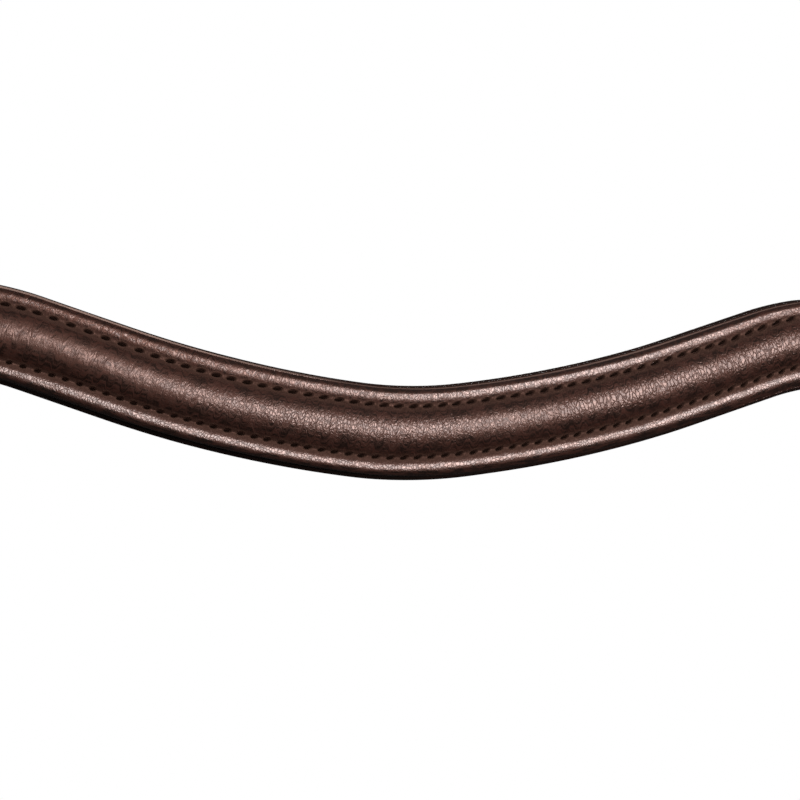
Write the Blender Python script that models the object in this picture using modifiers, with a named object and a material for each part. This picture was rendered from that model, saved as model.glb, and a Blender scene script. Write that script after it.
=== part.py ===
"""Raised and padded browband of a bridle, as its separate pieces.

Metres, +Z up. The face looks along -Y and the lining along +Y. The origin is on the lining's back
face, at the lowest point of the band's centre line, in its plane of symmetry. A place on the band is
(run, across, height): the distance along the centre line from the middle, the distance up the band
square to that line, and the height in front of the lining's back face.
"""

from math import acos, asin, cos, degrees, pi, sin, sqrt

import bmesh
import bpy
from mathutils import Vector

# Centre line, from its lowest point out to one end
DIP_RADIUS = 0.124
DIP_ARC = 0.015
WAVE_RADIUS = 0.320
WAVE_ARC = 0.064
CLIMB_RUN = 0.024
LEVEL_RADIUS = 0.075
LEVEL_RUN = 0.010  # level stretch of the padded body

# Widths
BODY_WIDTH = 0.025
STRAP_END_WIDTH = 0.019
NARROW_RUN = 0.018  # the body narrows over this length, and is narrow NARROW_REST before its end
NARROW_REST = 0.004
LINING_OVERHANG = 0.0008  # the lining's rolled edge stands this far outside the strap's
FACE_SETBACK = 0.0004  # the face leather ends this far inside the strap's edge
SEAM_SPACING = 0.0134  # between the two rows of stitches
SEAM_END_SPACING = 0.0060  # the rows close in to this where the roll runs out
CHANNEL_WIDTH = 0.0010  # flat floor that a row lies on

# Thicknesses and rises
STRAP_THICK = 0.0026
FACE_THICK = 0.0010
LINING_THICK = 0.0009
PAD_THICK = 0.0017
PAD_END_THICK = 0.0006
GAP = 0.0003  # clearance between pieces that lie on each other
ROLL_RISE = 0.0040  # crown of the middle roll above the stitch channels
ROLL_END_RISE = 0.0004
BORDER_RISE = 0.0009
BORDER_END_RISE = 0.0002
FADE_RUN = 0.026  # roll, borders and pad run out over this length
ROLL_FILLER_INSET = 0.009  # the roll's filler stops this far before the body's end
BORDER_FILLER_INSET = 0.016
STRAP_EDGE_ROUND = 0.0005

# Back of the lining, drawn in by the two rows
DRAW_DEPTH = 0.0009
DRAW_WIDTH = 0.0032
DRAW_FLOOR = 0.0008

# End loops, where the strap is turned back and sewn down
LOOP_LENGTH = 0.048  # from the sewn tail to the start of the fold
LOOP_DEPTH = 0.008
THROAT_RADIUS = 0.012
TAIL_LENGTH = 0.0125
TAIL_GAP = 0.0008  # between the tail's cut end and the lining

# Sewing
FACE_THREAD = 0.0008
BACK_THREAD = 0.0006
STITCH = 0.0039
STITCH_LIFT = 0.0003  # the middle of a stitch above its ends
BACK_STITCH_LIFT = 0.00015
SEAM_INSET = 0.003  # from the last hole to the body's end
LOOP_SEAM_INSET = 0.003  # from a loop's row of stitches to the strap's edges and the body
LOOP_SEAM_SETBACK = 0.0015  # from a loop's row to the end of its sewn stretch

# Fineness of the meshes
STATION = 0.007
ROLL_SIDES = 10
BORDER_SIDES = 5
EDGE_SIDES = 5
FOLD_SIDES = 10
THROAT_SIDES = 4

CLIMB = DIP_ARC / DIP_RADIUS + WAVE_ARC / WAVE_RADIUS  # steepest angle of the centre line
LEVEL_FROM = DIP_ARC + WAVE_ARC + CLIMB_RUN + LEVEL_RADIUS * CLIMB
BODY_END = LEVEL_FROM + LEVEL_RUN
TAIL_FROM = BODY_END + TAIL_GAP
LOOP_FROM = TAIL_FROM + TAIL_LENGTH
FOLD_RADIUS = (LOOP_DEPTH + STRAP_THICK) / 2

# Heights of the layers in front of the lining's back face
PAD_BACK = LINING_THICK + GAP
PAD_FRONT = PAD_BACK + PAD_THICK
STRAP_BACK = PAD_FRONT + GAP
STRAP_FRONT = STRAP_BACK + STRAP_THICK
FACE_BACK = STRAP_FRONT + GAP
CHANNEL = FACE_BACK + FACE_THICK

COLLECTION = "padded_browband"


class Path:
    """A plane path of straight runs and arcs, given as (length, curvature), that starts along +X."""

    def __init__(self, runs, start=(0, 0)):
        self.runs = runs
        self.start = start

    def at(self, distance):
        """The point (u, w) at this distance, and the heading there."""
        (u, w), heading = self.start, 0
        for length, curve in self.runs:
            part = min(distance, length)
            middle = heading + curve * part / 2
            chord = part if curve == 0 else 2 * sin(curve * part / 2) / curve
            u, w, heading = u + chord * cos(middle), w + chord * sin(middle), heading + curve * part
            distance -= part
            if distance <= 0:
                break
        return u, w, heading


CENTRE_LINE = Path([
    (DIP_ARC, 1 / DIP_RADIUS),
    (WAVE_ARC, 1 / WAVE_RADIUS),
    (CLIMB_RUN, 0),
    (LEVEL_RADIUS * CLIMB, -1 / LEVEL_RADIUS),
    (LEVEL_RUN + TAIL_GAP + TAIL_LENGTH, 0),
])


def ease(value, start, end):
    """0 up to start, 1 from end on, and a smooth rise between them."""
    t = min(max((value - start) / (end - start), 0), 1)
    return t * t * (3 - 2 * t)


def blend(first, last, share):
    return first + (last - first) * share


def place(run, across, height):
    """The point of the band at this place. A negative run is on the left."""
    u, w, heading = CENTRE_LINE.at(abs(run))
    side = -1 if run < 0 else 1
    return Vector((side * (u - across * sin(heading)), -height, w + across * cos(heading)))


def strap_half(run):
    narrow_to = BODY_END - NARROW_REST
    wide = BODY_WIDTH / 2 - LINING_OVERHANG
    return blend(wide, STRAP_END_WIDTH / 2, ease(abs(run), narrow_to - NARROW_RUN, narrow_to))


def seam_across(run):
    """How far the rows of stitches lie from the centre line."""
    spacing = blend(SEAM_SPACING, SEAM_END_SPACING, fade(run))
    return spacing / 2 * strap_half(run) / strap_half(0)


def fade(run):
    """0 on the full body and 1 where its roll, borders and pad have run out."""
    return ease(abs(run), BODY_END - FADE_RUN, BODY_END)


def radius_of(half_chord, rise):
    return (half_chord**2 + rise**2) / (2 * rise)


def arc(radius, half_chord, foot, sides):
    """Points (u, w) of an arc over a chord centred at u = 0. Its centre lies foot below w = 0."""
    angle = asin(half_chord / radius)
    turns = [angle * (2 * i / sides - 1) for i in range(sides + 1)]
    return [(radius * sin(turn), radius * cos(turn) - foot) for turn in turns]


def crown(half_chord, rise, sides):
    """Points (u, w) of an arc that rises this much over its chord."""
    radius = radius_of(half_chord, rise)
    return arc(radius, half_chord, radius - rise, sides)


def stations(end):
    """Evenly spaced runs from the plane of symmetry out to end."""
    count = round(end / STATION)
    return [end * i / count for i in range(count + 1)]


def material(name, colour, roughness):
    made = bpy.data.materials.new(name)
    made.use_nodes = True
    shader = made.node_tree.nodes["Principled BSDF"]
    linear = [(c / 255 / 12.92) if c < 11 else ((c / 255 + 0.055) / 1.055) ** 2.4 for c in colour]
    shader.inputs["Base Color"].default_value = (*linear, 1)
    shader.inputs["Roughness"].default_value = roughness
    return made


def link(name, data, finish):
    """A new object of the browband with this mesh or curve and this material."""
    data.materials.append(finish)
    made = bpy.data.objects.new(name, data)
    bpy.data.collections[COLLECTION].objects.link(made)
    return made


def mesh_from(name, bm):
    mesh = bpy.data.meshes.new(name)
    bm.to_mesh(mesh)
    bm.free()
    mesh.shade_smooth()
    mesh.set_sharp_from_angle(angle=pi / 5)
    return mesh


def mirrored(made):
    """Mirrors a right half, open at the plane of symmetry, to make the whole piece."""
    mirror = made.modifiers.new("both_halves", "MIRROR")
    mirror.use_axis[0] = True
    mirror.merge_threshold = 0.00001
    return made


def sheet(name, rows, thickness, side, finish):
    """A leather sheet through rows of points. side is -1 where they lie on its outside, 0 in its middle."""
    bm = bmesh.new()
    long, wide = len(rows) - 1, len(rows[0]) - 1
    bmesh.ops.create_grid(bm, x_segments=long, y_segments=wide, size=0.5)
    for vert in bm.verts:
        vert.co = rows[round((vert.co.x + 0.5) * long)][round((vert.co.y + 0.5) * wide)]
    made = mirrored(link(name, mesh_from(name, bm), finish))
    solid = made.modifiers.new("leather", "SOLIDIFY")
    solid.thickness = thickness
    solid.offset = side
    solid.use_even_offset = True
    return made


def loft(name, rings, finish):
    """A body through closed rings of points, open at the plane of symmetry and capped at its end."""
    bm = bmesh.new()
    loops = [[bm.verts.new(point) for point in ring] for ring in rings]
    for near, far in zip(loops, loops[1:]):
        for i in range(len(near)):
            bm.faces.new((near[i - 1], near[i], far[i], far[i - 1]))
    bm.faces.new(loops[-1])
    bmesh.ops.recalc_face_normals(bm, faces=bm.faces)
    return mirrored(link(name, mesh_from(name, bm), finish))


def thread(name, points, diameter, finish):
    curve = bpy.data.curves.new(name, "CURVE")
    curve.dimensions = "3D"
    curve.bevel_depth = diameter / 2
    curve.bevel_resolution = 0
    curve.use_fill_caps = True
    spline = curve.splines.new("POLY")
    spline.points.add(len(points) - 1)
    for target, point in zip(spline.points, points):
        target.co = (*point, 1)
    return link(name, curve, finish)


def roll_rise(run):
    return blend(ROLL_RISE, ROLL_END_RISE, fade(run))


def border_rise(run):
    return blend(BORDER_RISE, BORDER_END_RISE, fade(run))


def face_leather(finish):
    """The thin leather formed over the roll and both borders, with a stitch channel between them."""
    rows = []
    for run in stations(BODY_END):
        seam = seam_across(run)
        edge = strap_half(run) - FACE_SETBACK
        inner, outer = seam - CHANNEL_WIDTH / 2, seam + CHANNEL_WIDTH / 2
        roll = crown(inner, roll_rise(run), ROLL_SIDES)
        border = crown((edge - outer) / 2, border_rise(run), BORDER_SIDES)
        upper = [((edge + outer) / 2 + u, CHANNEL + w) for u, w in border] + [(edge, FACE_BACK)]
        lower = [(-u, w) for u, w in reversed(upper)]
        section = lower + [(u, CHANNEL + w) for u, w in roll] + upper
        rows.append([place(run, *point) for point in section])
    return sheet("face_leather", rows, FACE_THICK, -1, finish)


def filler_ring(run, centre, half_chord, rise, sides):
    """The space under a formed arc, less the leather and the clearance, down to the strap."""
    radius = radius_of(half_chord, rise)
    inside = radius - FACE_THICK - GAP
    foot = radius - rise - FACE_THICK
    reach = min(sqrt(inside**2 - foot**2), half_chord - FACE_THICK - GAP)
    ring = [(-reach, 0)] + arc(inside, reach, foot, sides) + [(reach, 0)]
    return [place(run, centre + u, FACE_BACK + w) for u, w in ring]


def roll_filler(finish):
    """The cord that raises the middle roll, flat where it lies on the strap."""
    rings = []
    for run in stations(BODY_END - ROLL_FILLER_INSET):
        half_chord = seam_across(run) - CHANNEL_WIDTH / 2
        rings.append(filler_ring(run, 0, half_chord, roll_rise(run), ROLL_SIDES))
    return loft("roll_filler", rings, finish)


def border_filler(name, side, finish):
    """The skived strip that crowns one border."""
    rings = []
    for run in stations(BODY_END - BORDER_FILLER_INSET):
        edge = strap_half(run) - FACE_SETBACK
        outer = seam_across(run) + CHANNEL_WIDTH / 2
        centre = side * (edge + outer) / 2
        rings.append(filler_ring(run, centre, (edge - outer) / 2, border_rise(run), BORDER_SIDES))
    return loft(name, rings, finish)


def strap(finish):
    """The strap that carries every layer, with each end turned back behind into a loop."""
    rows = []
    middle = (STRAP_BACK + STRAP_FRONT) / 2
    for run in stations(BODY_END) + [TAIL_FROM, LOOP_FROM]:
        half = strap_half(run)
        rows.append([place(run, across, middle) for across in (-half, 0, half)])
    end = place(LOOP_FROM, 0, middle)
    half = STRAP_END_WIDTH / 2
    for x, y in loop_points(end.x, end.y):
        rows.append([Vector((x, y, end.z + across)) for across in (-half, 0, half)])
    made = sheet("strap", rows, STRAP_THICK, 0, finish)
    bevel = made.modifiers.new("edge", "BEVEL")
    bevel.width = STRAP_EDGE_ROUND
    bevel.segments = 2
    bevel.limit_method = "ANGLE"
    bevel.angle_limit = pi / 3
    return made


def loop_points(x, y):
    """The strap's middle from (x, y) out to the fold, round it, back, and in to the sewn tail."""
    shift = 2 * FOLD_RADIUS - STRAP_THICK - GAP
    bend = acos(1 - shift / (2 * THROAT_RADIUS))
    throat = 2 * THROAT_RADIUS * sin(bend)
    runs = [
        (LOOP_LENGTH, 0),
        (pi * FOLD_RADIUS, 1 / FOLD_RADIUS),
        (LOOP_LENGTH - throat, 0),
        (THROAT_RADIUS * bend, 1 / THROAT_RADIUS),
        (THROAT_RADIUS * bend, -1 / THROAT_RADIUS),
        (TAIL_LENGTH, 0),
    ]
    sides = [1, FOLD_SIDES, 1, THROAT_SIDES, THROAT_SIDES, 1]
    path = Path(runs, (x, y))
    points, gone = [], 0
    for (length, _), count in zip(runs, sides):
        points += [path.at(gone + length * i / count)[:2] for i in range(1, count + 1)]
        gone += length
    return points


def pad_thickness(run):
    return blend(PAD_THICK, PAD_END_THICK, fade(run))


def lining_back(run):
    """Height of the lining's back face, 0 on the full body."""
    return PAD_THICK - pad_thickness(run)


def draw_in(run):
    return DRAW_DEPTH * (1 - fade(run))


def lining_leather(finish):
    """The soft back, rolled round the pad's edges and drawn in by the two rows."""
    rows = []
    for run in stations(BODY_END):
        back, seam = lining_back(run), seam_across(run)
        radius = (STRAP_BACK - GAP - back) / 2
        edge = strap_half(run) + LINING_OVERHANG - radius
        turns = [pi * i / EDGE_SIDES for i in range(EDGE_SIDES + 1)]
        upper = [(seam - DRAW_WIDTH / 2, back)]
        upper += [(seam - DRAW_FLOOR / 2, back + draw_in(run)), (seam + DRAW_FLOOR / 2, back + draw_in(run))]
        upper += [(seam + DRAW_WIDTH / 2, back)]
        upper += [(edge + radius * sin(t), back + radius * (1 - cos(t))) for t in turns]
        section = [(-u, w) for u, w in reversed(upper)] + upper
        rows.append([place(run, *point) for point in reversed(section)])
    return sheet("lining_leather", rows, LINING_THICK, -1, finish)


def backing_pad(finish):
    """The thin foam between the strap and the lining."""
    rings = []
    for run in stations(BODY_END - GAP):
        back = lining_back(run) + LINING_THICK + GAP
        seam, draw = seam_across(run), draw_in(run)
        rolled = (STRAP_BACK - GAP - lining_back(run)) / 2
        edge = strap_half(run) + LINING_OVERHANG - rolled - GAP
        slope = (LINING_THICK + GAP) / 2
        near, far = DRAW_FLOOR / 2 + slope, DRAW_WIDTH / 2 + slope
        upper = [(seam - far, back), (seam - near, back + draw), (seam + near, back + draw), (seam + far, back)]
        upper += [(edge, back), (edge, PAD_FRONT)]
        lower = [(-u, w) for u, w in reversed(upper)]
        rings.append([place(run, *point) for point in lower + upper])
    return loft("backing_pad", rings, finish)


def stitched(point_at, length):
    """Points of a thread along a seam, low at each hole and lifted between two."""
    halves = 2 * round(length / STITCH)
    return [point_at(length * i / halves, i % 2) for i in range(halves + 1)]


def seam_threads(side, name, finish):
    """The needle thread in the face's channel and the bobbin thread behind it."""
    end = BODY_END - SEAM_INSET
    face_height = CHANNEL + GAP + FACE_THREAD / 2

    def on_face(distance, lifted):
        run = distance - end
        return place(run, side * seam_across(run), face_height + STITCH_LIFT * lifted)

    def on_back(distance, lifted):
        run = distance - end
        floor = lining_back(run) + draw_in(run) - GAP - BACK_THREAD / 2
        return place(run, side * seam_across(run), floor - BACK_STITCH_LIFT * lifted)

    thread(name + "_needle_thread", stitched(on_face, 2 * end), FACE_THREAD, finish)
    thread(name + "_bobbin_thread", stitched(on_back, 2 * end), BACK_THREAD, finish)


def loop_threads(side, name, finish):
    """The row that sews a loop's tail down along three sides, as it shows in front and behind."""
    up = STRAP_END_WIDTH / 2 - LOOP_SEAM_INSET
    near, far = TAIL_FROM + LOOP_SEAM_INSET, LOOP_FROM - LOOP_SEAM_SETBACK
    corners = [(near, up), (far, up), (far, -up), (near, -up)]
    tail_back = STRAP_BACK - GAP - STRAP_THICK
    front = STRAP_FRONT + GAP + FACE_THREAD / 2
    back = tail_back - GAP - BACK_THREAD / 2
    for suffix, height, lift, diameter in (
        ("_front_thread", front, STITCH_LIFT, FACE_THREAD),
        ("_back_thread", back, -BACK_STITCH_LIFT, BACK_THREAD),
    ):
        points = []
        for start, stop in zip(corners, corners[1:]):
            length = abs(stop[0] - start[0]) + abs(stop[1] - start[1])

            def on_strap(distance, lifted):
                share = distance / length
                run, across = blend(start[0], stop[0], share), blend(start[1], stop[1], share)
                return place(side * run, across, height + lift * lifted)

            points += stitched(on_strap, length)[1 if points else 0:]
        thread(name + suffix, points, diameter, finish)


def main():
    for old in list(bpy.data.objects):
        bpy.data.objects.remove(old, do_unlink=True)
    parts = bpy.data.collections.new(COLLECTION)
    bpy.context.scene.collection.children.link(parts)
    face_leather(material("face_leather", (66, 44, 37), 0.42))
    roll_filler(material("roll_filler_cord", (170, 150, 120), 0.9))
    border_filler("upper_border_filler", 1, material("upper_filler_strip", (150, 118, 84), 0.8))
    border_filler("lower_border_filler", -1, material("lower_filler_strip", (150, 118, 84), 0.8))
    strap(material("strap_leather", (60, 38, 30), 0.5))
    backing_pad(material("pad_foam", (60, 58, 56), 0.95))
    lining_leather(material("lining_leather", (46, 30, 25), 0.6))
    for side, name in ((1, "upper_seam"), (-1, "lower_seam")):
        seam_threads(side, name, material(name + "_thread", (26, 14, 10), 0.6))
    for side, name in ((-1, "left_loop"), (1, "right_loop")):
        loop_threads(side, name, material(name + "_thread", (26, 14, 10), 0.6))
    print(f"climb of the band {degrees(CLIMB):.1f} degrees")


main()
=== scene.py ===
"""Raised and padded leather browband of a bridle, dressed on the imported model's frame.

Metres, +Z up, the face towards -Y. A place on the band is (run, across, height): the distance along
the centre line from the middle, the distance up the band square to that line, and the height in front
of the lining's back face. Patterns that follow the leather read a UV map whose unit is a millimetre.
"""

import logging
from dataclasses import dataclass, field
from enum import Enum
from functools import cached_property, partial
from math import acos, asin, cos, pi, radians, sin, sqrt, tan, tau
from random import Random
from typing import Callable

import bmesh
import bpy
import numpy as np
from mathutils import Matrix, Vector


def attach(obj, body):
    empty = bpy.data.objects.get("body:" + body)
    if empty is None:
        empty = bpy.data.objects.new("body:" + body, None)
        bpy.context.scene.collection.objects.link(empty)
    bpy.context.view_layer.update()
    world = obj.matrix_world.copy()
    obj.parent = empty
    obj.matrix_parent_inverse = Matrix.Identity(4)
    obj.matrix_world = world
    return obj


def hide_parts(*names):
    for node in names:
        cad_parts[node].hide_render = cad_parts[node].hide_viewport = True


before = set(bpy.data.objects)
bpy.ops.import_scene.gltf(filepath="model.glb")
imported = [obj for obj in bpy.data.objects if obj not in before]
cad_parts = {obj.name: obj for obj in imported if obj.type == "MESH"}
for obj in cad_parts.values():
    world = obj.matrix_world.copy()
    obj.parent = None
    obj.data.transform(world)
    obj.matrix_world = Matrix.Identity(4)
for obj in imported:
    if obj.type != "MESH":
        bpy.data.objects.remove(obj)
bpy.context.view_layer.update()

log = logging.getLogger("browband")

BODY = "root"
MM = 0.001
MERGE = 1e-7  # points closer than this are one
SHARP = pi / 4  # the angle above which an edge shades sharp
# The strap's 'rubbed' value marks a painted highlight along its upper front edge
EDGE, FLESH, EDGE_HIGHLIGHT = "edge", "flesh", "rubbed"  # the strap's vertex values
SEWN, BORDER, WORN, CHANNEL, RIM = "sewn", "border", "worn", "channel", "rim"  # the face leather's
MIX_A, MIX_B = 6, 7  # the colour sockets of a Mix node, which shares their names among its sockets
WAVE_UNIT = 0.3  # the wave texture's scale at which one band is a unit wide
END_POWER = 4  # how late and how steeply a stitch narrows and dives towards its ends

Point = tuple[float, float]
Table = tuple[Point, ...]
Output = bpy.types.Node | bpy.types.NodeSocket
Value = float | int | str | bool | tuple | Output
AddNode = Callable[..., bpy.types.Node]


class Row(Enum):
    """The two rows of stitches, by the side of the centre line that they lie on."""

    UPPER = 1
    LOWER = -1


class Hand(Enum):
    """The two ends of the band, by the sign of their run."""

    LEFT = -1
    RIGHT = 1


class Side(Enum):
    """The two sides of the band, by the sign of the height that leads out of it."""

    FRONT = 1
    BACK = -1


# Shapes and numbers


def ease(value: float, start: float, end: float) -> float:
    """A smooth rise.

    Args:
        value: Where to read it.
        start: It is 0 up to here.
        end: It is 1 from here on.

    Returns:
        The height of the rise, from 0 to 1.
    """
    t = min(max((value - start) / (end - start), 0.0), 1.0)
    return t * t * (3 - 2 * t)


def blend(first: float, last: float, share: float) -> float:
    """The value that lies this share of the way from first to last."""
    return first + (last - first) * share


def read(table: Table, run: float) -> float:
    """The table's value here: straight between its points and level past its ends."""
    return float(np.interp(run, *zip(*table)))


def stations(end: float, spacing: float) -> np.ndarray:
    """Runs from -end to end, about this far apart."""
    return np.linspace(-end, end, round(2 * end / spacing) + 1)


def follow(runs: list[Point], distance: float, start: Point = (0.0, 0.0)) -> tuple[float, float, float]:
    """Walks along straight runs and arcs that start out along +X.

    Args:
        runs: Each one's length and curvature.
        distance: How far to walk.
        start: Where the first run starts.

    Returns:
        The point that is reached, and the heading there.
    """
    u, w, heading = *start, 0.0
    for length, curve in runs:
        part = min(distance, length)
        middle = heading + curve * part / 2
        chord = part if curve == 0 else 2 * sin(curve * part / 2) / curve
        u, w, heading = u + chord * cos(middle), w + chord * sin(middle), heading + curve * part
        distance -= part
        if distance <= 0:
            break
    return u, w, heading


def arc_over(across: np.ndarray, centre: float, half_chord: float, rise: float) -> np.ndarray:
    """Heights of an arc over its chord, which falls on past its ends.

    Args:
        across: Where to read it.
        centre: The middle of the chord.
        half_chord: Half the chord's length.
        rise: The crown's height over the chord.

    Returns:
        The heights over the chord.
    """
    furthest = 0.999  # of the radius, where the arc is all but upright
    radius = (half_chord**2 + rise**2) / (2 * rise)
    reach = np.minimum(np.abs(across - centre), radius * furthest)
    return np.sqrt(radius**2 - reach**2) - (radius - rise)


@dataclass(frozen=True)
class Band:
    """The forms that all layers share: the centre line, the widths and the heights of the layers."""

    dip_radius: float = 0.124
    dip_arc: float = 0.015
    wave_radius: float = 0.320
    wave_arc: float = 0.064
    climb_run: float = 0.024
    level_radius: float = 0.075
    level_run: float = 0.010
    body_width: float = 0.025
    strap_end_width: float = 0.019
    narrow_run: float = 0.018
    narrow_rest: float = 0.004
    lining_overhang: float = 0.0008
    face_setback: dict[Row, float] = field(default_factory=lambda: {Row.UPPER: 0.0006, Row.LOWER: 0.00005})
    seam_spacing: float = 0.0134
    seam_end_spacing: float = 0.0060
    strap_thick: float = 0.0026
    face_thick: float = 0.0010
    lining_thick: float = 0.0009
    pad_thick: float = 0.0017
    pad_end_thick: float = 0.0006
    gap: float = 0.0003
    fade_run: float = 0.026
    tail_length: float = 0.0125
    tail_gap: float = 0.0008
    # how far each row strays outwards from its even place
    wander: dict[Row, Table] = field(default_factory=lambda: {
        Row.UPPER: (
            (-0.112, 0.0005), (-0.100, 0.0007), (-0.086, 0.0003), (-0.070, 0.0), (-0.056, -0.0003),
            (-0.040, -0.0001), (0.0, -0.0001), (0.016, 0.0002), (0.078, 0.0002), (0.092, -0.0003),
            (0.112, 0.0005),
        ),
        Row.LOWER: (
            (-0.108, 0.0003), (-0.090, -0.0003), (-0.064, 0.0), (-0.024, 0.0004), (-0.006, 0.0004),
            (0.010, -0.0003), (0.060, -0.0004), (0.084, -0.0005), (0.112, -0.0006),
        ),
    })
    # how far each soft edge bulges outwards past its cut line
    bulge: dict[Row, Table] = field(default_factory=lambda: {
        Row.UPPER: (
            (-0.09, 0.0), (-0.05, 0.00015), (-0.01, 0.0), (0.04, -0.0001), (0.07, -0.0002), (0.12, 0.0)
        ),
        Row.LOWER: (
            (-0.10, 0.0), (-0.06, 0.00025), (-0.01, 0.00035), (0.02, 0.0001), (0.07, 0.0002), (0.12, 0.0)
        ),
    })

    @property
    def climb(self) -> float:
        """The steepest angle of the centre line."""
        return self.dip_arc / self.dip_radius + self.wave_arc / self.wave_radius

    @property
    def runs(self) -> list[Point]:
        """The centre line's runs, from the middle out to one loop.

        Returns:
            Each run's length and curvature.
        """
        return [
            (self.dip_arc, 1 / self.dip_radius),
            (self.wave_arc, 1 / self.wave_radius),
            (self.climb_run, 0.0),
            (self.level_radius * self.climb, -1 / self.level_radius),
            (self.level_run + self.tail_gap + self.tail_length, 0.0),
        ]

    @property
    def body_end(self) -> float:
        """Where the padded body ends."""
        return self.dip_arc + self.wave_arc + self.climb_run + self.level_radius * self.climb + self.level_run

    @property
    def tail_from(self) -> float:
        """Where the sewn tail starts."""
        return self.body_end + self.tail_gap

    @property
    def loop_from(self) -> float:
        """Where the loop starts."""
        return self.tail_from + self.tail_length

    @property
    def pad_front(self) -> float:
        """Height of the pad's front."""
        return self.lining_thick + self.gap + self.pad_thick

    @property
    def strap_back(self) -> float:
        """Height of the strap's back."""
        return self.pad_front + self.gap

    @property
    def strap_front(self) -> float:
        """Height of the strap's front."""
        return self.strap_back + self.strap_thick

    @property
    def face_back(self) -> float:
        """Height of the face leather's back."""
        return self.strap_front + self.gap

    @property
    def channel(self) -> float:
        """Height of the channels that the rows of stitches lie in."""
        return self.face_back + self.face_thick

    def place(self, run: float, across: float, height: float) -> Vector:
        """Finds the point at a place of the band.

        Args:
            run: How far along the centre line, negative on the left.
            across: How far up the band, square to the centre line.
            height: How far in front of the lining's back face.

        Returns:
            The point.
        """
        u, w, heading = follow(self.runs, abs(run))
        side = -1 if run < 0 else 1
        return Vector((side * (u - across * sin(heading)), -height, w + across * cos(heading)))

    def fade(self, run: float) -> float:
        """0 on the full body and 1 where its roll, borders and pad have run out."""
        return ease(abs(run), self.body_end - self.fade_run, self.body_end)

    def strap_half(self, run: float) -> float:
        """Half the strap's width, which narrows to its loops.

        Args:
            run: Where along the band.

        Returns:
            The half width.
        """
        narrow_to = self.body_end - self.narrow_rest
        wide = self.body_width / 2 - self.lining_overhang
        return blend(wide, self.strap_end_width / 2, ease(abs(run), narrow_to - self.narrow_run, narrow_to))

    def seam_across(self, run: float, row: Row) -> float:
        """How far a row lies from the centre line, which wanders a little as sewing by hand and eye does.

        Args:
            run: Where along the band.
            row: Which of the two rows.

        Returns:
            The distance from the centre line, never negative.
        """
        spacing = blend(self.seam_spacing, self.seam_end_spacing, self.fade(run))
        strayed = read(self.wander[row], run) * (1 - self.fade(run))
        return spacing / 2 * self.strap_half(run) / self.strap_half(0) + strayed

    def swell(self, run: float, row: Row) -> float:
        """How far the soft edge on this row's side bulges past its cut line here."""
        return read(self.bulge[row], run) * (1 - self.fade(run))

    def lining_back(self, run: float) -> float:
        """Height of the lining's back face, 0 on the full body."""
        return (self.pad_thick - self.pad_end_thick) * self.fade(run)


@dataclass(frozen=True)
class Seam:
    """One row of stitches through the whole body: where each stitch lies and how it slants."""

    row: Row
    anchor: float
    pitch: Table
    length: Table
    slant: Table  # in degrees
    hole_half_width: float
    drop: float = 0.00024
    end_inset: float = 0.003
    stray: float = 0.00012
    slant_stray: float = 3.0
    seed: int = 5

    def half_at(self, run: float) -> float:
        """Half of a stitch's length here."""
        return read(self.length, run) / 2

    def line(self, band: Band, run: float) -> float:
        """The row's place across here: a little lower than the middle of its channel."""
        return self.row.value * band.seam_across(run, self.row) - self.drop

    def stitches(self, band: Band) -> list[Point]:
        """Every stitch's middle and slant.

        Args:
            band: The band that the row is sewn on.

        Returns:
            The run and the slant in radians of each stitch, from left to right.
        """
        end = band.body_end - self.end_inset - self.half_at(band.body_end)
        middles = [self.anchor]
        for side in (1, -1):
            at = self.anchor
            while abs(at) < end:
                at += side * read(self.pitch, at)
                middles.append(at)
        hand = Random(self.seed)
        placed = []
        for middle in sorted(m for m in middles if abs(m) < end):
            strayed = middle + hand.uniform(-self.stray, self.stray)
            slant = read(self.slant, middle) + hand.uniform(-self.slant_stray, self.slant_stray)
            placed.append((strayed, radians(slant)))
        return placed


SEAMS = {
    Row.UPPER: Seam(
        row=Row.UPPER,
        anchor=0.0002,
        pitch=(
            (-0.105, 0.0038), (-0.093, 0.0048), (-0.078, 0.0046), (-0.062, 0.0042), (0.0, 0.0042),
            (0.10, 0.0041),
        ),
        length=((-0.09, 0.0026), (0.0, 0.0029), (0.09, 0.0033)),
        hole_half_width=0.00058,
        slant=((-0.100, 4.0), (-0.060, 8.0), (0.0, 13.0), (0.085, 14.0), (0.100, 21.0)),
        seed=3,
    ),
    Row.LOWER: Seam(
        row=Row.LOWER,
        anchor=0.0013,
        pitch=((-0.100, 0.0038), (-0.065, 0.0035), (0.022, 0.0036), (0.060, 0.0037), (0.090, 0.0040)),
        length=((-0.09, 0.0018), (0.0, 0.0022), (0.09, 0.0027)),
        hole_half_width=0.00051,
        slant=((-0.100, 6.0), (-0.050, 10.0), (0.0, 18.0), (0.10, 22.0)),
        seed=11,
    ),
}


# Meshes and objects


def add_object(name: str, data: bpy.types.ID) -> bpy.types.Object:
    """Adds an object to the scene.

    Args:
        name: Its name.
        data: Its mesh, light or camera.

    Returns:
        The object.
    """
    made = bpy.data.objects.new(name, data)
    bpy.context.scene.collection.objects.link(made)
    return made


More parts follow.
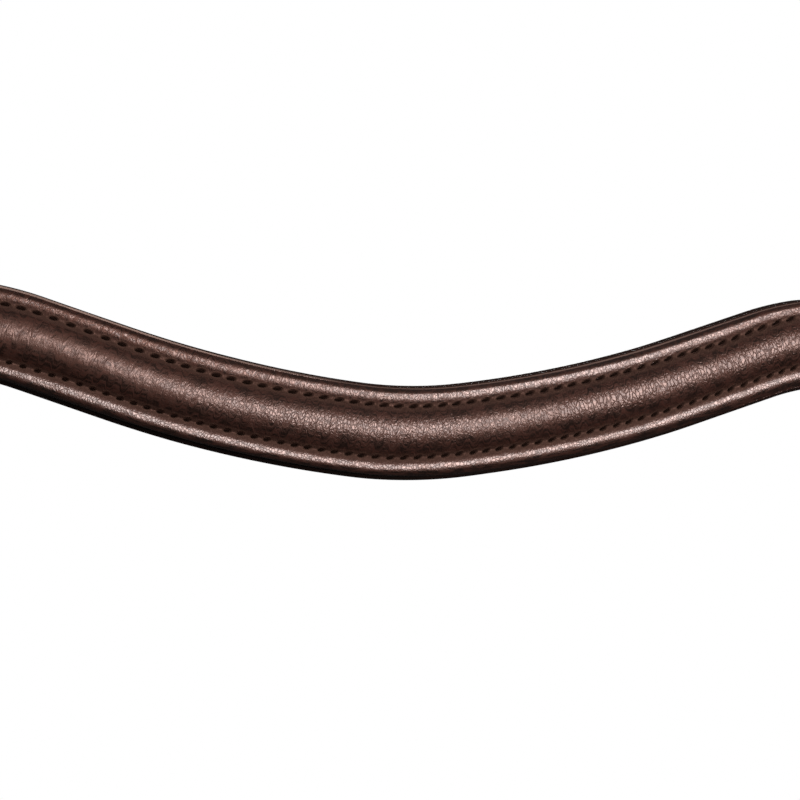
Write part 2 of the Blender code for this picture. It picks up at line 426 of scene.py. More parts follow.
def add_grid(
    bm: bmesh.types.BMesh, points: np.ndarray, mm: np.ndarray, tags: dict[str, np.ndarray] | None = None
) -> None:
    """Adds a grid that is bent to rows of points.

    Args:
        bm: The mesh that it is added to.
        points: The points, as (row, column, axis).
        mm: Each point's place on the UV map, in millimetres.
        tags: Named vertex values of the first columns. The columns after them are 0.
    """
    long, wide = len(points) - 1, len(points[0]) - 1
    uv = bm.loops.layers.uv.verify()
    layers = {}
    for name, given in (tags or {}).items():
        values = np.zeros(points.shape[:2])
        values[:, :given.shape[-1]] = given
        layers[bm.verts.layers.float.new(name)] = values
    for vert in bmesh.ops.create_grid(bm, x_segments=long, y_segments=wide, size=0.5)["verts"]:
        i, j = round((vert.co.x + 0.5) * long), round((vert.co.y + 0.5) * wide)
        vert.co = points[i, j]
        for layer, values in layers.items():
            vert[layer] = values[i, j]
        for loop in vert.link_loops:
            loop[uv].uv = mm[i, j]


def finished(
    name: str, bm: bmesh.types.BMesh, material: bpy.types.Material, slot: str, *nodes: str
) -> bpy.types.Object:
    """Makes the object of one piece, which rides on the frame and stands for its CAD nodes.

    What meets is merged first, then open ends are closed and every face is turned outwards.

    Args:
        name: The piece's name.
        bm: Its mesh, which is freed.
        material: Its finish.
        slot: The record's material slot that it belongs to. Not used.
        nodes: The CAD nodes that it replaces.

    Returns:
        The object.
    """
    bmesh.ops.remove_doubles(bm, verts=bm.verts, dist=MERGE)
    bmesh.ops.holes_fill(bm, edges=[edge for edge in bm.edges if edge.is_boundary], sides=0)
    bmesh.ops.triangulate(bm, faces=[face for face in bm.faces if len(face.verts) > 4])
    bmesh.ops.recalc_face_normals(bm, faces=bm.faces)
    mesh = bpy.data.meshes.new(name)
    bm.to_mesh(mesh)
    bm.free()
    mesh.shade_smooth()
    mesh.set_sharp_from_angle(angle=SHARP)
    mesh.materials.append(material)
    made = add_object(name, mesh)
    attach(made, BODY)
    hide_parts(*nodes)
    log.info("%s: %d faces for %s", name, len(mesh.polygons), ", ".join(nodes))
    return made


def lofted(
    name: str,
    rings: list[list[Vector]],
    runs: np.ndarray,
    material: bpy.types.Material,
    slot: str,
    node: str,
    tags: dict[str, np.ndarray] | None = None,
) -> bpy.types.Object:
    """Makes a piece whose skin runs through rings of points, with its UV map in millimetres.

    Args:
        name: The piece's name.
        rings: The rings, from one end to the other, first point not repeated.
        runs: How far along each ring lies.
        material: Its finish.
        slot: The record's material slot that it belongs to.
        node: The CAD node that it replaces.
        tags: Named vertex values of each ring's first points. The points after them are 0.

    Returns:
        The object.
    """
    points = np.array([[tuple(point) for point in ring + ring[:1]] for ring in rings])
    steps = np.linalg.norm(np.diff(points, axis=1), axis=2)
    around = np.pad(np.cumsum(steps, axis=1), ((0, 0), (1, 0)))
    along = np.broadcast_to(runs[:, None], around.shape)
    bm = bmesh.new()
    add_grid(bm, points, np.stack([along, around], axis=-1) / MM, tags)
    return finished(name, bm, material, slot, node)


# Finishes


def linear(colour: str) -> tuple[float, float, float, float]:
    """Brings an sRGB colour to the linear values that a shader takes.

    Args:
        colour: The colour as #rrggbb.

    Returns:
        Red, green, blue and alpha.
    """
    parts = [int(colour[i:i + 2], 16) / 255 for i in (1, 3, 5)]
    return (*[c / 12.92 if c <= 0.04045 else ((c + 0.055) / 1.055) ** 2.4 for c in parts], 1.0)


def per_mm(size: Point) -> tuple[float, float, float]:
    """The scale that makes a pattern this long and this wide, in millimetres."""
    return 1 / size[0], 1 / size[1], 1.0


def span(end: str, values: Point) -> dict[str, Value]:
    """The inputs that give a Map Range node this range on its From or its To end."""
    return {f"{end} Min": values[0], f"{end} Max": values[1]}


def add_node(
    tree: bpy.types.NodeTree, kind: str, inputs: dict[str | int, Value] | None = None, **settings: Value
) -> bpy.types.Node:
    """Adds a node with its settings and links.

    Args:
        tree: The tree that it is added to.
        kind: The node's type, without ShaderNode.
        inputs: What goes into each socket: a value, another node's output, or a node for its first output.
        settings: The node's own properties.

    Returns:
        The node.
    """
    node = tree.nodes.new("ShaderNode" + kind)
    for name, value in settings.items():
        setattr(node, name, value)
    for name, value in (inputs or {}).items():
        if isinstance(value, bpy.types.Node):
            value = next(output for output in value.outputs if output.enabled)
        if isinstance(value, bpy.types.NodeSocket):
            tree.links.new(value, node.inputs[name])
        else:
            node.inputs[name].default_value = value
    return node


@dataclass(frozen=True)
class Finish:
    """What a piece is made of, as its material shows it. Reliefs are in millimetres."""

    name: str

    def surface(self, add: AddNode) -> bpy.types.Node:
        """Adds the finish's nodes with add, which is add_node on its tree, and returns its shader."""
        raise NotImplementedError

    def material(self) -> bpy.types.Material:
        """Makes the finish's material.

        Returns:
            The material.
        """
        made = bpy.data.materials.new(self.name)
        made.use_nodes = True
        made.node_tree.nodes.clear()
        add = partial(add_node, made.node_tree)
        add("OutputMaterial", {"Surface": self.surface(add)})
        return made


@dataclass(frozen=True)
class PebbledLeather(Finish):
    """Full-grain cowhide, drum dyed and waxed, formed wet over the fillers.

    The eye gets a dark red-brown with a pinkish satin shine, which the pebbled grain breaks up with fine
    dark creases, partly painted shadow in the colour. The borders are stretched tighter, so they are
    smoother and shine more. To the right the roll folds a little across where it bends, so that its grain
    closes into longer plates, and towards the left its grain is drawn out into hair-fine lines. The stitch
    holes carry painted shade, and their raised rims a painted highlight.
    """

    name: str = "pebbled_full_grain_cowhide"
    dye: str = "#120704"
    warm_dye: str = "#3d1c14"
    # crease: painted shadow in the grain's creases
    crease: str = "#140906"
    pressed: str = "#31211b"
    # hole: painted shade inside the stitch holes
    hole: str = "#120906"
    # stretched: a painted highlight on the raised rims round the stitch holes
    stretched: str = "#4a362c"
    pebble_mm: Point = (0.78, 1.12)
    pebble_crease: float = 0.2
    pebble_depth: Point = (0.035, 0.018)  # where it lies flat and where it is folded
    drawn_pebbles: float = 0.15
    lump_mm: float = 1.5
    lump_height: float = 0.16
    drawn_lumps: float = 0.55
    folded_lumps: float = 0.6
    swell_mm: float = 4.0
    swell_height: float = 0.16
    hair_mm: Point = (0.42, 2.6)
    hair_height: float = 0.05
    plate_mm: Point = (1.0, 2.1)
    plate_crease: float = 0.16
    plate_depth: float = 0.05
    border_grain: float = 0.55
    drift_scale: float = 1.1
    drift_mm: float = 0.5
    drawn_from_to: Point = (-0.035, -0.085)  # the runs between which the roll's grain is drawn out
    folded_from_to: Point = (0.01, 0.045)  # and those between which it folds
    streak_mm: Point = (4.0, 0.8)
    patch_mm: float = 5.0
    patch_share: float = 0.5
    shade_range: Point = (0.67, 0.84)
    crease_shadow_share: float = 0.7
    hole_range: Point = (0.25, 0.8)
    wear_mm: Point = (6.0, 0.9)
    wear_range: Point = (0.35, 0.6)
    least_wear: float = 0.35
    roughness: float = 0.38
    crease_dullness: float = 0.22
    rolled_dullness: float = 0.05
    folded_dullness: float = 0.03
    drawn_dullness: float = 0.03
    worn_dullness: float = 0.06
    mottled_dullness: float = 0.18
    pressed_dullness: float = 0.30
    hole_dullness: float = 0.5
    fibre_tint: tuple[float, float, float, float] = (1.0, 0.53, 0.42, 1.0)
    fibre_ior: float = 1.7
    wax: float = 0.56
    border_wax: float = 0.38
    folded_wax: float = -0.08
    drawn_wax: float = -0.30
    worn_wax: float = -1.0
    creased_wax: Point = (0.3, 0.4)
    wax_roughness: float = 0.27
    wax_ior: float = 1.88

    def grain(self, add: AddNode, uv: Output, along: Output, border: Output) -> tuple[Output, ...]:
        """Adds the nodes of the grain.

        Args:
            add: Adds a node to the leather's tree.
            uv: The UV map's place.
            along: The run.
            border: How far each place lies on a border.

        Returns:
            The grain's height in millimetres, how open it is, from 0 in a crease to 1 on a pebble, how
            far it is folded, and how far it is drawn out into hairs.
        """
        drift = add("TexNoise", {"Vector": uv, "Scale": self.drift_scale, "Detail": 2.0}).outputs["Color"]
        centred = add("VectorMath", {0: drift, 1: (0.5, 0.5, 0.5)}, operation="SUBTRACT")
        pushed = add("VectorMath", {0: centred, "Scale": self.drift_mm}, operation="SCALE")
        warped = add("VectorMath", {0: uv, 1: pushed}, operation="ADD")
        spread, drawn, longer = (
            add("Mapping", {"Vector": warped, "Scale": per_mm(size)})
            for size in (self.pebble_mm, self.hair_mm, self.plate_mm)
        )
        hairs = add("TexNoise", {"Vector": drawn, "Scale": 1.0, "Detail": 2.0})
        lumps, swell = (
            add("TexNoise", {"Vector": uv, "Scale": 1 / size, "Detail": detail})
            for size, detail in ((self.lump_mm, 1.5), (self.swell_mm, 0.0))
        )
        pebbles, plates = (
            add("MapRange", {
                "Value": add("TexVoronoi", {"Vector": place, "Scale": 1.0}, feature="DISTANCE_TO_EDGE"),
                "From Max": crease,
            }, interpolation_type="SMOOTHSTEP")
            for place, crease in ((spread, self.pebble_crease), (longer, self.plate_crease))
        )
        rolled = add("Math", {0: 1.0, 1: border}, operation="SUBTRACT")
        folded, drawn_out = (
            add("Math", {
                0: add("MapRange", {"Value": along, **span("From", ends)}), 1: rolled,
            }, operation="MULTIPLY")
            for ends in (self.folded_from_to, self.drawn_from_to)
        )
        coarse, pebbled, calmed, flattened, smooth, deep = (
            add("MapRange", {"Value": zone, **span("To", levels)})
            for zone, levels in (
                (border, (1.0, self.border_grain)),
                (drawn_out, (1.0, self.drawn_pebbles)),
                (drawn_out, (1.0, self.drawn_lumps)),
                (folded, (1.0, self.folded_lumps)),
                (folded, (1.0, 0.0)),
                (folded, self.pebble_depth),
            )
        )
        creased = add("Math", {0: plates, 1: smooth}, operation="MAXIMUM")
        rounded = add("Math", {0: pebbles, 1: folded}, operation="MAXIMUM")
        opened = add("Math", {0: rounded, 1: creased}, operation="MULTIPLY")
        height = add("Math", {0: swell, 1: self.swell_height}, operation="MULTIPLY")
        for pattern, size, shares in (
            (lumps, self.lump_height, (coarse, calmed, flattened)),
            (pebbles, deep, (coarse, pebbled)),
            (hairs, self.hair_height, (drawn_out,)),
            (plates, self.plate_depth, (folded,)),
        ):
            for share in shares:
                pattern = add("Math", {0: pattern, 1: share}, operation="MULTIPLY")
            height = add("Math", {0: pattern, 1: size, 2: height}, operation="MULTIPLY_ADD")
        return height, opened, folded, drawn_out

    def surface(self, add: AddNode) -> bpy.types.Node:
        """Adds the leather's nodes.

        Args:
            add: Adds a node to the leather's tree.

        Returns:
            The shader.
        """
        coords = add("TexCoord")
        uv, along = coords.outputs["UV"], add("SeparateXYZ", {0: coords.outputs["Object"]}).outputs["X"]
        sewn, border, worn, channel, rim = (
            add("Attribute", attribute_name=name).outputs["Fac"]
            for name in (SEWN, BORDER, WORN, CHANNEL, RIM)
        )
        height, opened, folded, drawn_out = self.grain(add, uv, along, border)
        bump = add("Bump", {"Height": height, "Strength": 1.0, "Distance": MM})
        patches = add("TexNoise", {"Vector": uv, "Scale": 1 / self.patch_mm, "Detail": 3.0})
        streaks, wear = (
            add("TexNoise", {
                "Vector": add("Mapping", {"Vector": uv, "Scale": per_mm(size)}), "Scale": 1.0, "Detail": 2.0,
            })
            for size in (self.streak_mm, self.wear_mm)
        )
        mottled = add("Math", {0: patches, 1: self.patch_share, 2: streaks}, operation="MULTIPLY_ADD")
        shade, holed = (
            add("MapRange", {"Value": value, **span("From", ends)})
            for value, ends in ((mottled, self.shade_range), (sewn, self.hole_range))
        )
        # creased darkens the grain's creases: painted shadow
        creased = add("MapRange", {"Value": opened, "To Min": self.crease_shadow_share, "To Max": 0.0})
        colour = linear(self.dye)
        for share, over in (
            # rim lays a painted highlight on the holes' raised rims
            (shade, self.warm_dye), (creased, self.crease), (channel, self.pressed), (rim, self.stretched),
            # holed lays painted shade inside the stitch holes
            (holed, self.hole),
        ):
            colour = add("Mix", {0: share, MIX_A: colour, MIX_B: linear(over)}, data_type="RGBA")

        rough = add("MapRange", {
            "Value": border, "To Min": self.roughness + self.rolled_dullness, "To Max": self.roughness,
        })
        for zone, more in (
            (folded, self.folded_dullness), (drawn_out, self.drawn_dullness), (worn, self.worn_dullness)
        ):
            rough = add("Math", {0: zone, 1: more, 2: rough}, operation="MULTIPLY_ADD")
        rough = add("MapRange", {
            "Value": opened, "To Min": self.roughness + self.crease_dullness, "To Max": rough,
        })
        centred = add("Math", {0: shade, 1: 0.5}, operation="SUBTRACT")
        for zone, more in (
            (centred, self.mottled_dullness), (channel, self.pressed_dullness), (holed, self.hole_dullness)
        ):
            rough = add("Math", {0: zone, 1: more, 2: rough}, operation="MULTIPLY_ADD")

        patchy = add("MapRange", {"Value": wear, **span("From", self.wear_range), "To Min": self.least_wear})
        thinned = add("Math", {0: worn, 1: patchy}, operation="MULTIPLY")
        waxed = self.wax
        for zone, more in (
            (folded, self.folded_wax), (drawn_out, self.drawn_wax), (border, self.border_wax),
            (thinned, self.worn_wax),
        ):
            waxed = add("Math", {0: zone, 1: more, 2: waxed}, operation="MULTIPLY_ADD")
        filled = add("MapRange", {"Value": drawn_out, **span("To", self.creased_wax)})
        reached = add("MapRange", {"Value": opened, "To Min": filled, "To Max": 1.0})
        sunk = add("Math", {0: holed, 1: channel}, operation="MAXIMUM")
        clear = add("MapRange", {"Value": sunk, "To Min": 1.0, "To Max": 0.0})
        for share in (reached, clear):
            waxed = add("Math", {0: waxed, 1: share}, operation="MULTIPLY")
        return add("BsdfPrincipled", {
            "Base Color": colour,
            "Roughness": rough,
            "IOR": self.fibre_ior,
            "Normal": bump,
            "Specular IOR Level": 1.0,
            "Specular Tint": self.fibre_tint,
            "Coat Weight": waxed,
            "Coat Roughness": self.wax_roughness,
            "Coat IOR": self.wax_ior,
            "Coat Normal": bump,
        })


@dataclass(frozen=True)
class BridleLeather(Finish):
    """Waxed bridle butt leather, cut to a strap with its edges inked and burnished.

    The eye gets a smooth dark strap with a soft wax shine, darker along its inked edges. On the upper
    front edge, at the left end, a thin pale line is a painted highlight, and the brushed flesh side inside
    the loops is paler too.
    """

    name: str = "waxed_bridle_butt"
    dye: str = "#3a241c"
    edge_ink: str = "#2b1a14"
    # rubbed: a painted highlight along the strap's upper front edge, at the left end
    rubbed: str = "#a88c80"
    flesh: str = "#5a3d2e"
    pore_mm: float = 0.35  # drawn coarser: real pores are too fine to show
    fibre_mm: float = 0.33  # drawn coarser, as the pores
    patch_mm: float = 8.0
    patch_range: Point = (0.3, 0.7)
    most_ink: float = 0.6
    highlight_patch_mm: Point = (9.0, 0.5)
    highlight_patch_range: Point = (0.3, 0.6)
    least_highlight: float = 0.55
    highlight_fades: tuple[Point, Point] = ((-0.055, -0.015), (0.03, 0.075))  # where the painted highlight dies out
    pore_share: float = 0.35
    relief: float = 0.06
    relief_strength: float = 0.8
    roughness: float = 0.42
    flesh_dullness: float = 0.35
    edge_dullness: float = 0.05
    shine_tint: tuple[float, float, float, float] = (1.0, 0.66, 0.56, 1.0)

    def surface(self, add: AddNode) -> bpy.types.Node:
        """Adds the strap's nodes.

        Args:
            add: Adds a node to the strap's tree.

        Returns:
            The shader.
        """
        coords = add("TexCoord")
        uv, along = coords.outputs["UV"], add("SeparateXYZ", {0: coords.outputs["Object"]}).outputs["X"]
        edge, flesh, ledge = (
            add("Attribute", attribute_name=name).outputs["Fac"] for name in (EDGE, FLESH, EDGE_HIGHLIGHT)
        )
        pores = add("TexVoronoi", {"Vector": uv, "Scale": 1 / self.pore_mm}).outputs["Distance"]
        stretched = add("Mapping", {"Vector": uv, "Scale": per_mm(self.highlight_patch_mm)})
        fibres, patches, uneven = (
            add("TexNoise", {"Vector": place, "Scale": scale, "Detail": detail})
            for place, scale, detail in (
                (uv, 1 / self.fibre_mm, 4.0), (uv, 1 / self.patch_mm, 4.0), (stretched, 1.0, 3.0)
            )
        )
        skin = add("Math", {0: 1.0, 1: edge}, operation="SUBTRACT")
        nap = add("Math", {0: fibres, 1: flesh}, operation="MULTIPLY")
        pitted = add("Math", {0: pores, 1: skin}, operation="MULTIPLY")
        height = add("Math", {0: pitted, 1: self.pore_share, 2: nap}, operation="MULTIPLY_ADD")
        bump = add("Bump", {"Height": height, "Strength": self.relief_strength, "Distance": self.relief * MM})
        shade = add("MapRange", {"Value": patches, **span("From", self.patch_range), "To Max": self.most_ink})
        # The pale line on the upper front edge is a painted highlight: left keeps it to the left end, patchy
        # breaks it up, ledge keeps it on the edge
        left, right = (
            add("MapRange", {"Value": along, **span("From", ends), "To Min": before, "To Max": 0.0})
            for ends, before in zip(self.highlight_fades, (1.0, 0.0))
        )
        highlit_end = add("Math", {0: left, 1: right}, operation="ADD")
        patchy = add("MapRange", {"Value": uneven, **span("From", self.highlight_patch_range), "To Min": self.least_highlight})
        edge_highlight = highlit_end
        for share in (patchy, ledge):
            edge_highlight = add("Math", {0: edge_highlight, 1: share}, operation="MULTIPLY")
        colour = linear(self.dye)
        for share, over in (
            (shade, self.edge_ink), (flesh, self.flesh), (edge, self.edge_ink), (edge_highlight, self.rubbed)
        ):
            colour = add("Mix", {0: share, MIX_A: colour, MIX_B: linear(over)}, data_type="RGBA")
        rough = self.roughness
        for zone, more in ((flesh, self.flesh_dullness), (edge, self.edge_dullness)):
            rough = add("Math", {0: zone, 1: more, 2: rough}, operation="MULTIPLY_ADD")
        return add("BsdfPrincipled", {
            "Base Color": colour, "Roughness": rough, "Normal": bump, "Specular Tint": self.shine_tint,
        })


@dataclass(frozen=True)
class TwoTone(Finish):
    """A plain finish that a pattern turns from one colour to another."""

    low: str
    high: str
    relief: float
    relief_strength: float = 1.0
    roughness: float = 0.85
    shine: float = 0.5

    def coated(
        self, add: AddNode, height: Output, shade: Output, rough: Output | None = None
    ) -> bpy.types.Node:
        """Adds the relief, the colour and the shader that every plain finish ends in.

        Args:
            add: Adds a node to the finish's tree.
            height: The relief's height, from 0 to 1.
            shade: How far the colour has turned from low to high.
            rough: The roughness, where it isn't even.

        Returns:
            The shader.
        """
        return add("BsdfPrincipled", {
            "Base Color": add("Mix", {
                0: shade, MIX_A: linear(self.low), MIX_B: linear(self.high),
            }, data_type="RGBA"),
            "Roughness": self.roughness if rough is None else rough,
            "Normal": add("Bump", {
                "Height": height, "Strength": self.relief_strength, "Distance": self.relief * MM,
            }),
            "Specular IOR Level": self.shine,
        })


@dataclass(frozen=True)
class LiningLeather(TwoTone):
    """Thin soft sheepskin lining, dyed through and left nearly matt.

    The eye gets a darker, duller brown with a fine crushed grain and a faint sheen on its rolled edge.
    """

    name: str = "soft_sheepskin_lining"
    low: str = "#22120d"
    high: str = "#341b14"
    relief: float = 0.05
    roughness: float = 0.52
    rough_spread: float = 0.05
    wrinkle_mm: float = 0.9
    wrinkle_smoothness: float = 0.6
    pore_mm: float = 0.4  # drawn coarser: real pores are too fine to show
    pore_share: float = 0.6
    patch_mm: float = 10.0
    patch_range: Point = (0.35, 0.7)

    def surface(self, add: AddNode) -> bpy.types.Node:
        """Adds the lining's nodes.

        Args:
            add: Adds a node to the lining's tree.

        Returns:
            The shader.
        """
        uv = add("TexCoord").outputs["UV"]
        crushed = add("TexVoronoi", {
            "Vector": uv, "Scale": 1 / self.wrinkle_mm, "Smoothness": self.wrinkle_smoothness,
        }, feature="SMOOTH_F1").outputs["Distance"]
        pores, patches = (
            add("TexNoise", {"Vector": uv, "Scale": 1 / size, "Detail": detail})
            for size, detail in ((self.pore_mm, 4.0), (self.patch_mm, 5.0))
        )
        height = add("Math", {0: pores, 1: self.pore_share, 2: crushed}, operation="MULTIPLY_ADD")
        shade = add("MapRange", {"Value": patches, **span("From", self.patch_range)})
        ends = self.roughness + self.rough_spread, self.roughness - self.rough_spread
        return self.coated(add, height, shade, add("MapRange", {"Value": shade, **span("To", ends)}))


@dataclass(frozen=True)
class WaxedThread(TwoTone):
    """Twisted polyester thread drawn through black-brown wax.

    The eye gets near-black dashes with the slant of the plies just visible close by.
    """

    name: str = "waxed_polyester_thread"
    low: str = "#140a06"
    high: str = "#20120c"
    relief: float = 0.05
    relief_strength: float = 0.8
    shine: float = 0.05
    ply_mm: float = 0.4
    ply_waver: float = 0.6

    def surface(self, add: AddNode) -> bpy.types.Node:
        """Adds the thread's nodes.

        Args:
            add: Adds a node to the thread's tree.

        Returns:
            The shader.
        """
        plies = add("TexWave", {
            "Vector": add("TexCoord").outputs["UV"],
            "Scale": WAVE_UNIT / self.ply_mm,
            "Distortion": self.ply_waver,
        }, bands_direction="DIAGONAL").outputs["Fac"]
        return self.coated(add, plies, plies)


@dataclass(frozen=True)
class LaidCotton(TwoTone):
    """Soft laid cotton cord, undyed.

    The eye, if the leather is taken off, gets matt cream strands with their twist and loose fibres.
    """

    name: str = "laid_cotton_cord"
    # low: painted shade in the hollows between the strands, where the relief is lowest
    low: str = "#7d6a4e"
    high: str = "#b39c78"
    relief: float = 0.22
    roughness: float = 0.92
    shine: float = 0.2
    strand_mm: float = 2.2
    strand_waver: float = 1.0
    fibre_mm: float = 0.3  # drawn coarser: real fibres are too fine to show
    fibre_share: float = 0.4

    def surface(self, add: AddNode) -> bpy.types.Node:
        """Adds the cord's nodes.

        Args:
            add: Adds a node to the cord's tree.

        Returns:
            The shader.
        """
        uv = add("TexCoord").outputs["UV"]
        strands = add("TexWave", {
            "Vector": uv,
            "Scale": WAVE_UNIT / self.strand_mm,
            "Distortion": self.strand_waver,
            "Detail": 2.0,
        }, bands_direction="DIAGONAL").outputs["Fac"]
        fibres = add("TexNoise", {"Vector": uv, "Scale": 1 / self.fibre_mm, "Detail": 5.0})
        height = add("Math", {0: fibres, 1: self.fibre_share, 2: strands}, operation="MULTIPLY_ADD")
        # the strands' wave sets both the relief and the colour, so the hollows carry painted shade
        return self.coated(add, height, strands)


@dataclass(frozen=True)
class SkivedStrip(TwoTone):
    """Undyed vegetable-tanned leather, skived thin along its edges.

    The eye, if the face is taken off, gets a pale tan fibre with the knife's long strokes.
    """

    name: str = "skived_veg_tan_strip"
    low: str = "#9a7852"
    high: str = "#785a3a"
    relief: float = 0.08
    stroke_mm: Point = (7.5, 0.6)
    stroke_range: Point = (0.3, 0.7)
    fuzz_mm: float = 0.25  # drawn coarser: real fibres are too fine to show
    fuzz_share: float = 0.5

    def surface(self, add: AddNode) -> bpy.types.Node:
        """Adds the strip's nodes.

        Args:
            add: Adds a node to the strip's tree.

        Returns:
            The shader.
        """
        uv = add("TexCoord").outputs["UV"]
        stretched = add("Mapping", {"Vector": uv, "Scale": per_mm(self.stroke_mm)})
        strokes = add("TexNoise", {"Vector": stretched, "Scale": 1.0, "Detail": 4.0})
        fuzz = add("TexNoise", {"Vector": uv, "Scale": 1 / self.fuzz_mm, "Detail": 3.0})
        height = add("Math", {0: fuzz, 1: self.fuzz_share, 2: strokes}, operation="MULTIPLY_ADD")
        shade = add("MapRange", {"Value": strokes, **span("From", self.stroke_range)})
        return self.coated(add, height, shade)


@dataclass(frozen=True)
class PadFoam(TwoTone):
    """Thin polyurethane foam, cut from sheet.

    The eye, at the edge of an opened lining, gets a dull grey with open cells.
    """

    name: str = "polyurethane_foam"
    # low: painted shade inside the open cells; high is the cell walls
    low: str = "#23211f"
    high: str = "#45423f"
    relief: float = 0.12
    roughness: float = 0.95
    shine: float = 0.2
    cell_mm: float = 0.5  # drawn coarser: real cells are too fine to show
    wall_range: Point = (0.05, 0.3)

    def surface(self, add: AddNode) -> bpy.types.Node:
        """Adds the foam's nodes.

        Args:
            add: Adds a node to the foam's tree.

        Returns:
            The shader.
        """
        cells = add("TexVoronoi", {
            "Vector": add("TexCoord").outputs["Object"], "Scale": 1 / (self.cell_mm * MM),
        }, feature="DISTANCE_TO_EDGE")
        wall = add("MapRange", {"Value": cells, **span("From", self.wall_range), **span("To", (1.0, 0.0))})
        # the cells' insides take the low colour: painted shade
        return self.coated(add, wall, wall)


@dataclass(frozen=True)
class PaperSweep(Finish):
    """Matt white photographer's paper.

    The eye gets a plain white ground that still takes the object's soft shadow.
    """

    name: str = "white_paper_sweep"
    paper: str = "#f4f4f4"
    bounce: str = "#3a3a3a"
    camera_lift: float = 0.72
    tooth_scale: float = 900.0  # drawn coarser: real paper's tooth is too fine to show
    tooth_strength: float = 0.1
    relief: float = 0.1

    def surface(self, add: AddNode) -> bpy.types.Node:
        """Adds the paper's nodes, which lift it to white for the camera alone.

        Args:
            add: Adds a node to the paper's tree.

        Returns:
            The shader.
        """
        place = add("TexCoord").outputs["Object"]
        tooth = add("TexNoise", {"Vector": place, "Scale": self.tooth_scale, "Detail": 3.0})
        bump = add("Bump", {"Height": tooth, "Strength": self.tooth_strength, "Distance": self.relief * MM})
        seen = add("LightPath").outputs["Is Camera Ray"]
        colour = add("Mix", {
            0: seen, MIX_A: linear(self.bounce), MIX_B: linear(self.paper),
        }, data_type="RGBA")
        diffuse = add("BsdfDiffuse", {"Color": colour, "Normal": bump})
        strength = add("Math", {0: seen, 1: self.camera_lift}, operation="MULTIPLY")
        return add("AddShader", {0: diffuse, 1: add("Emission", {"Strength": strength})})


# Sub-assemblies


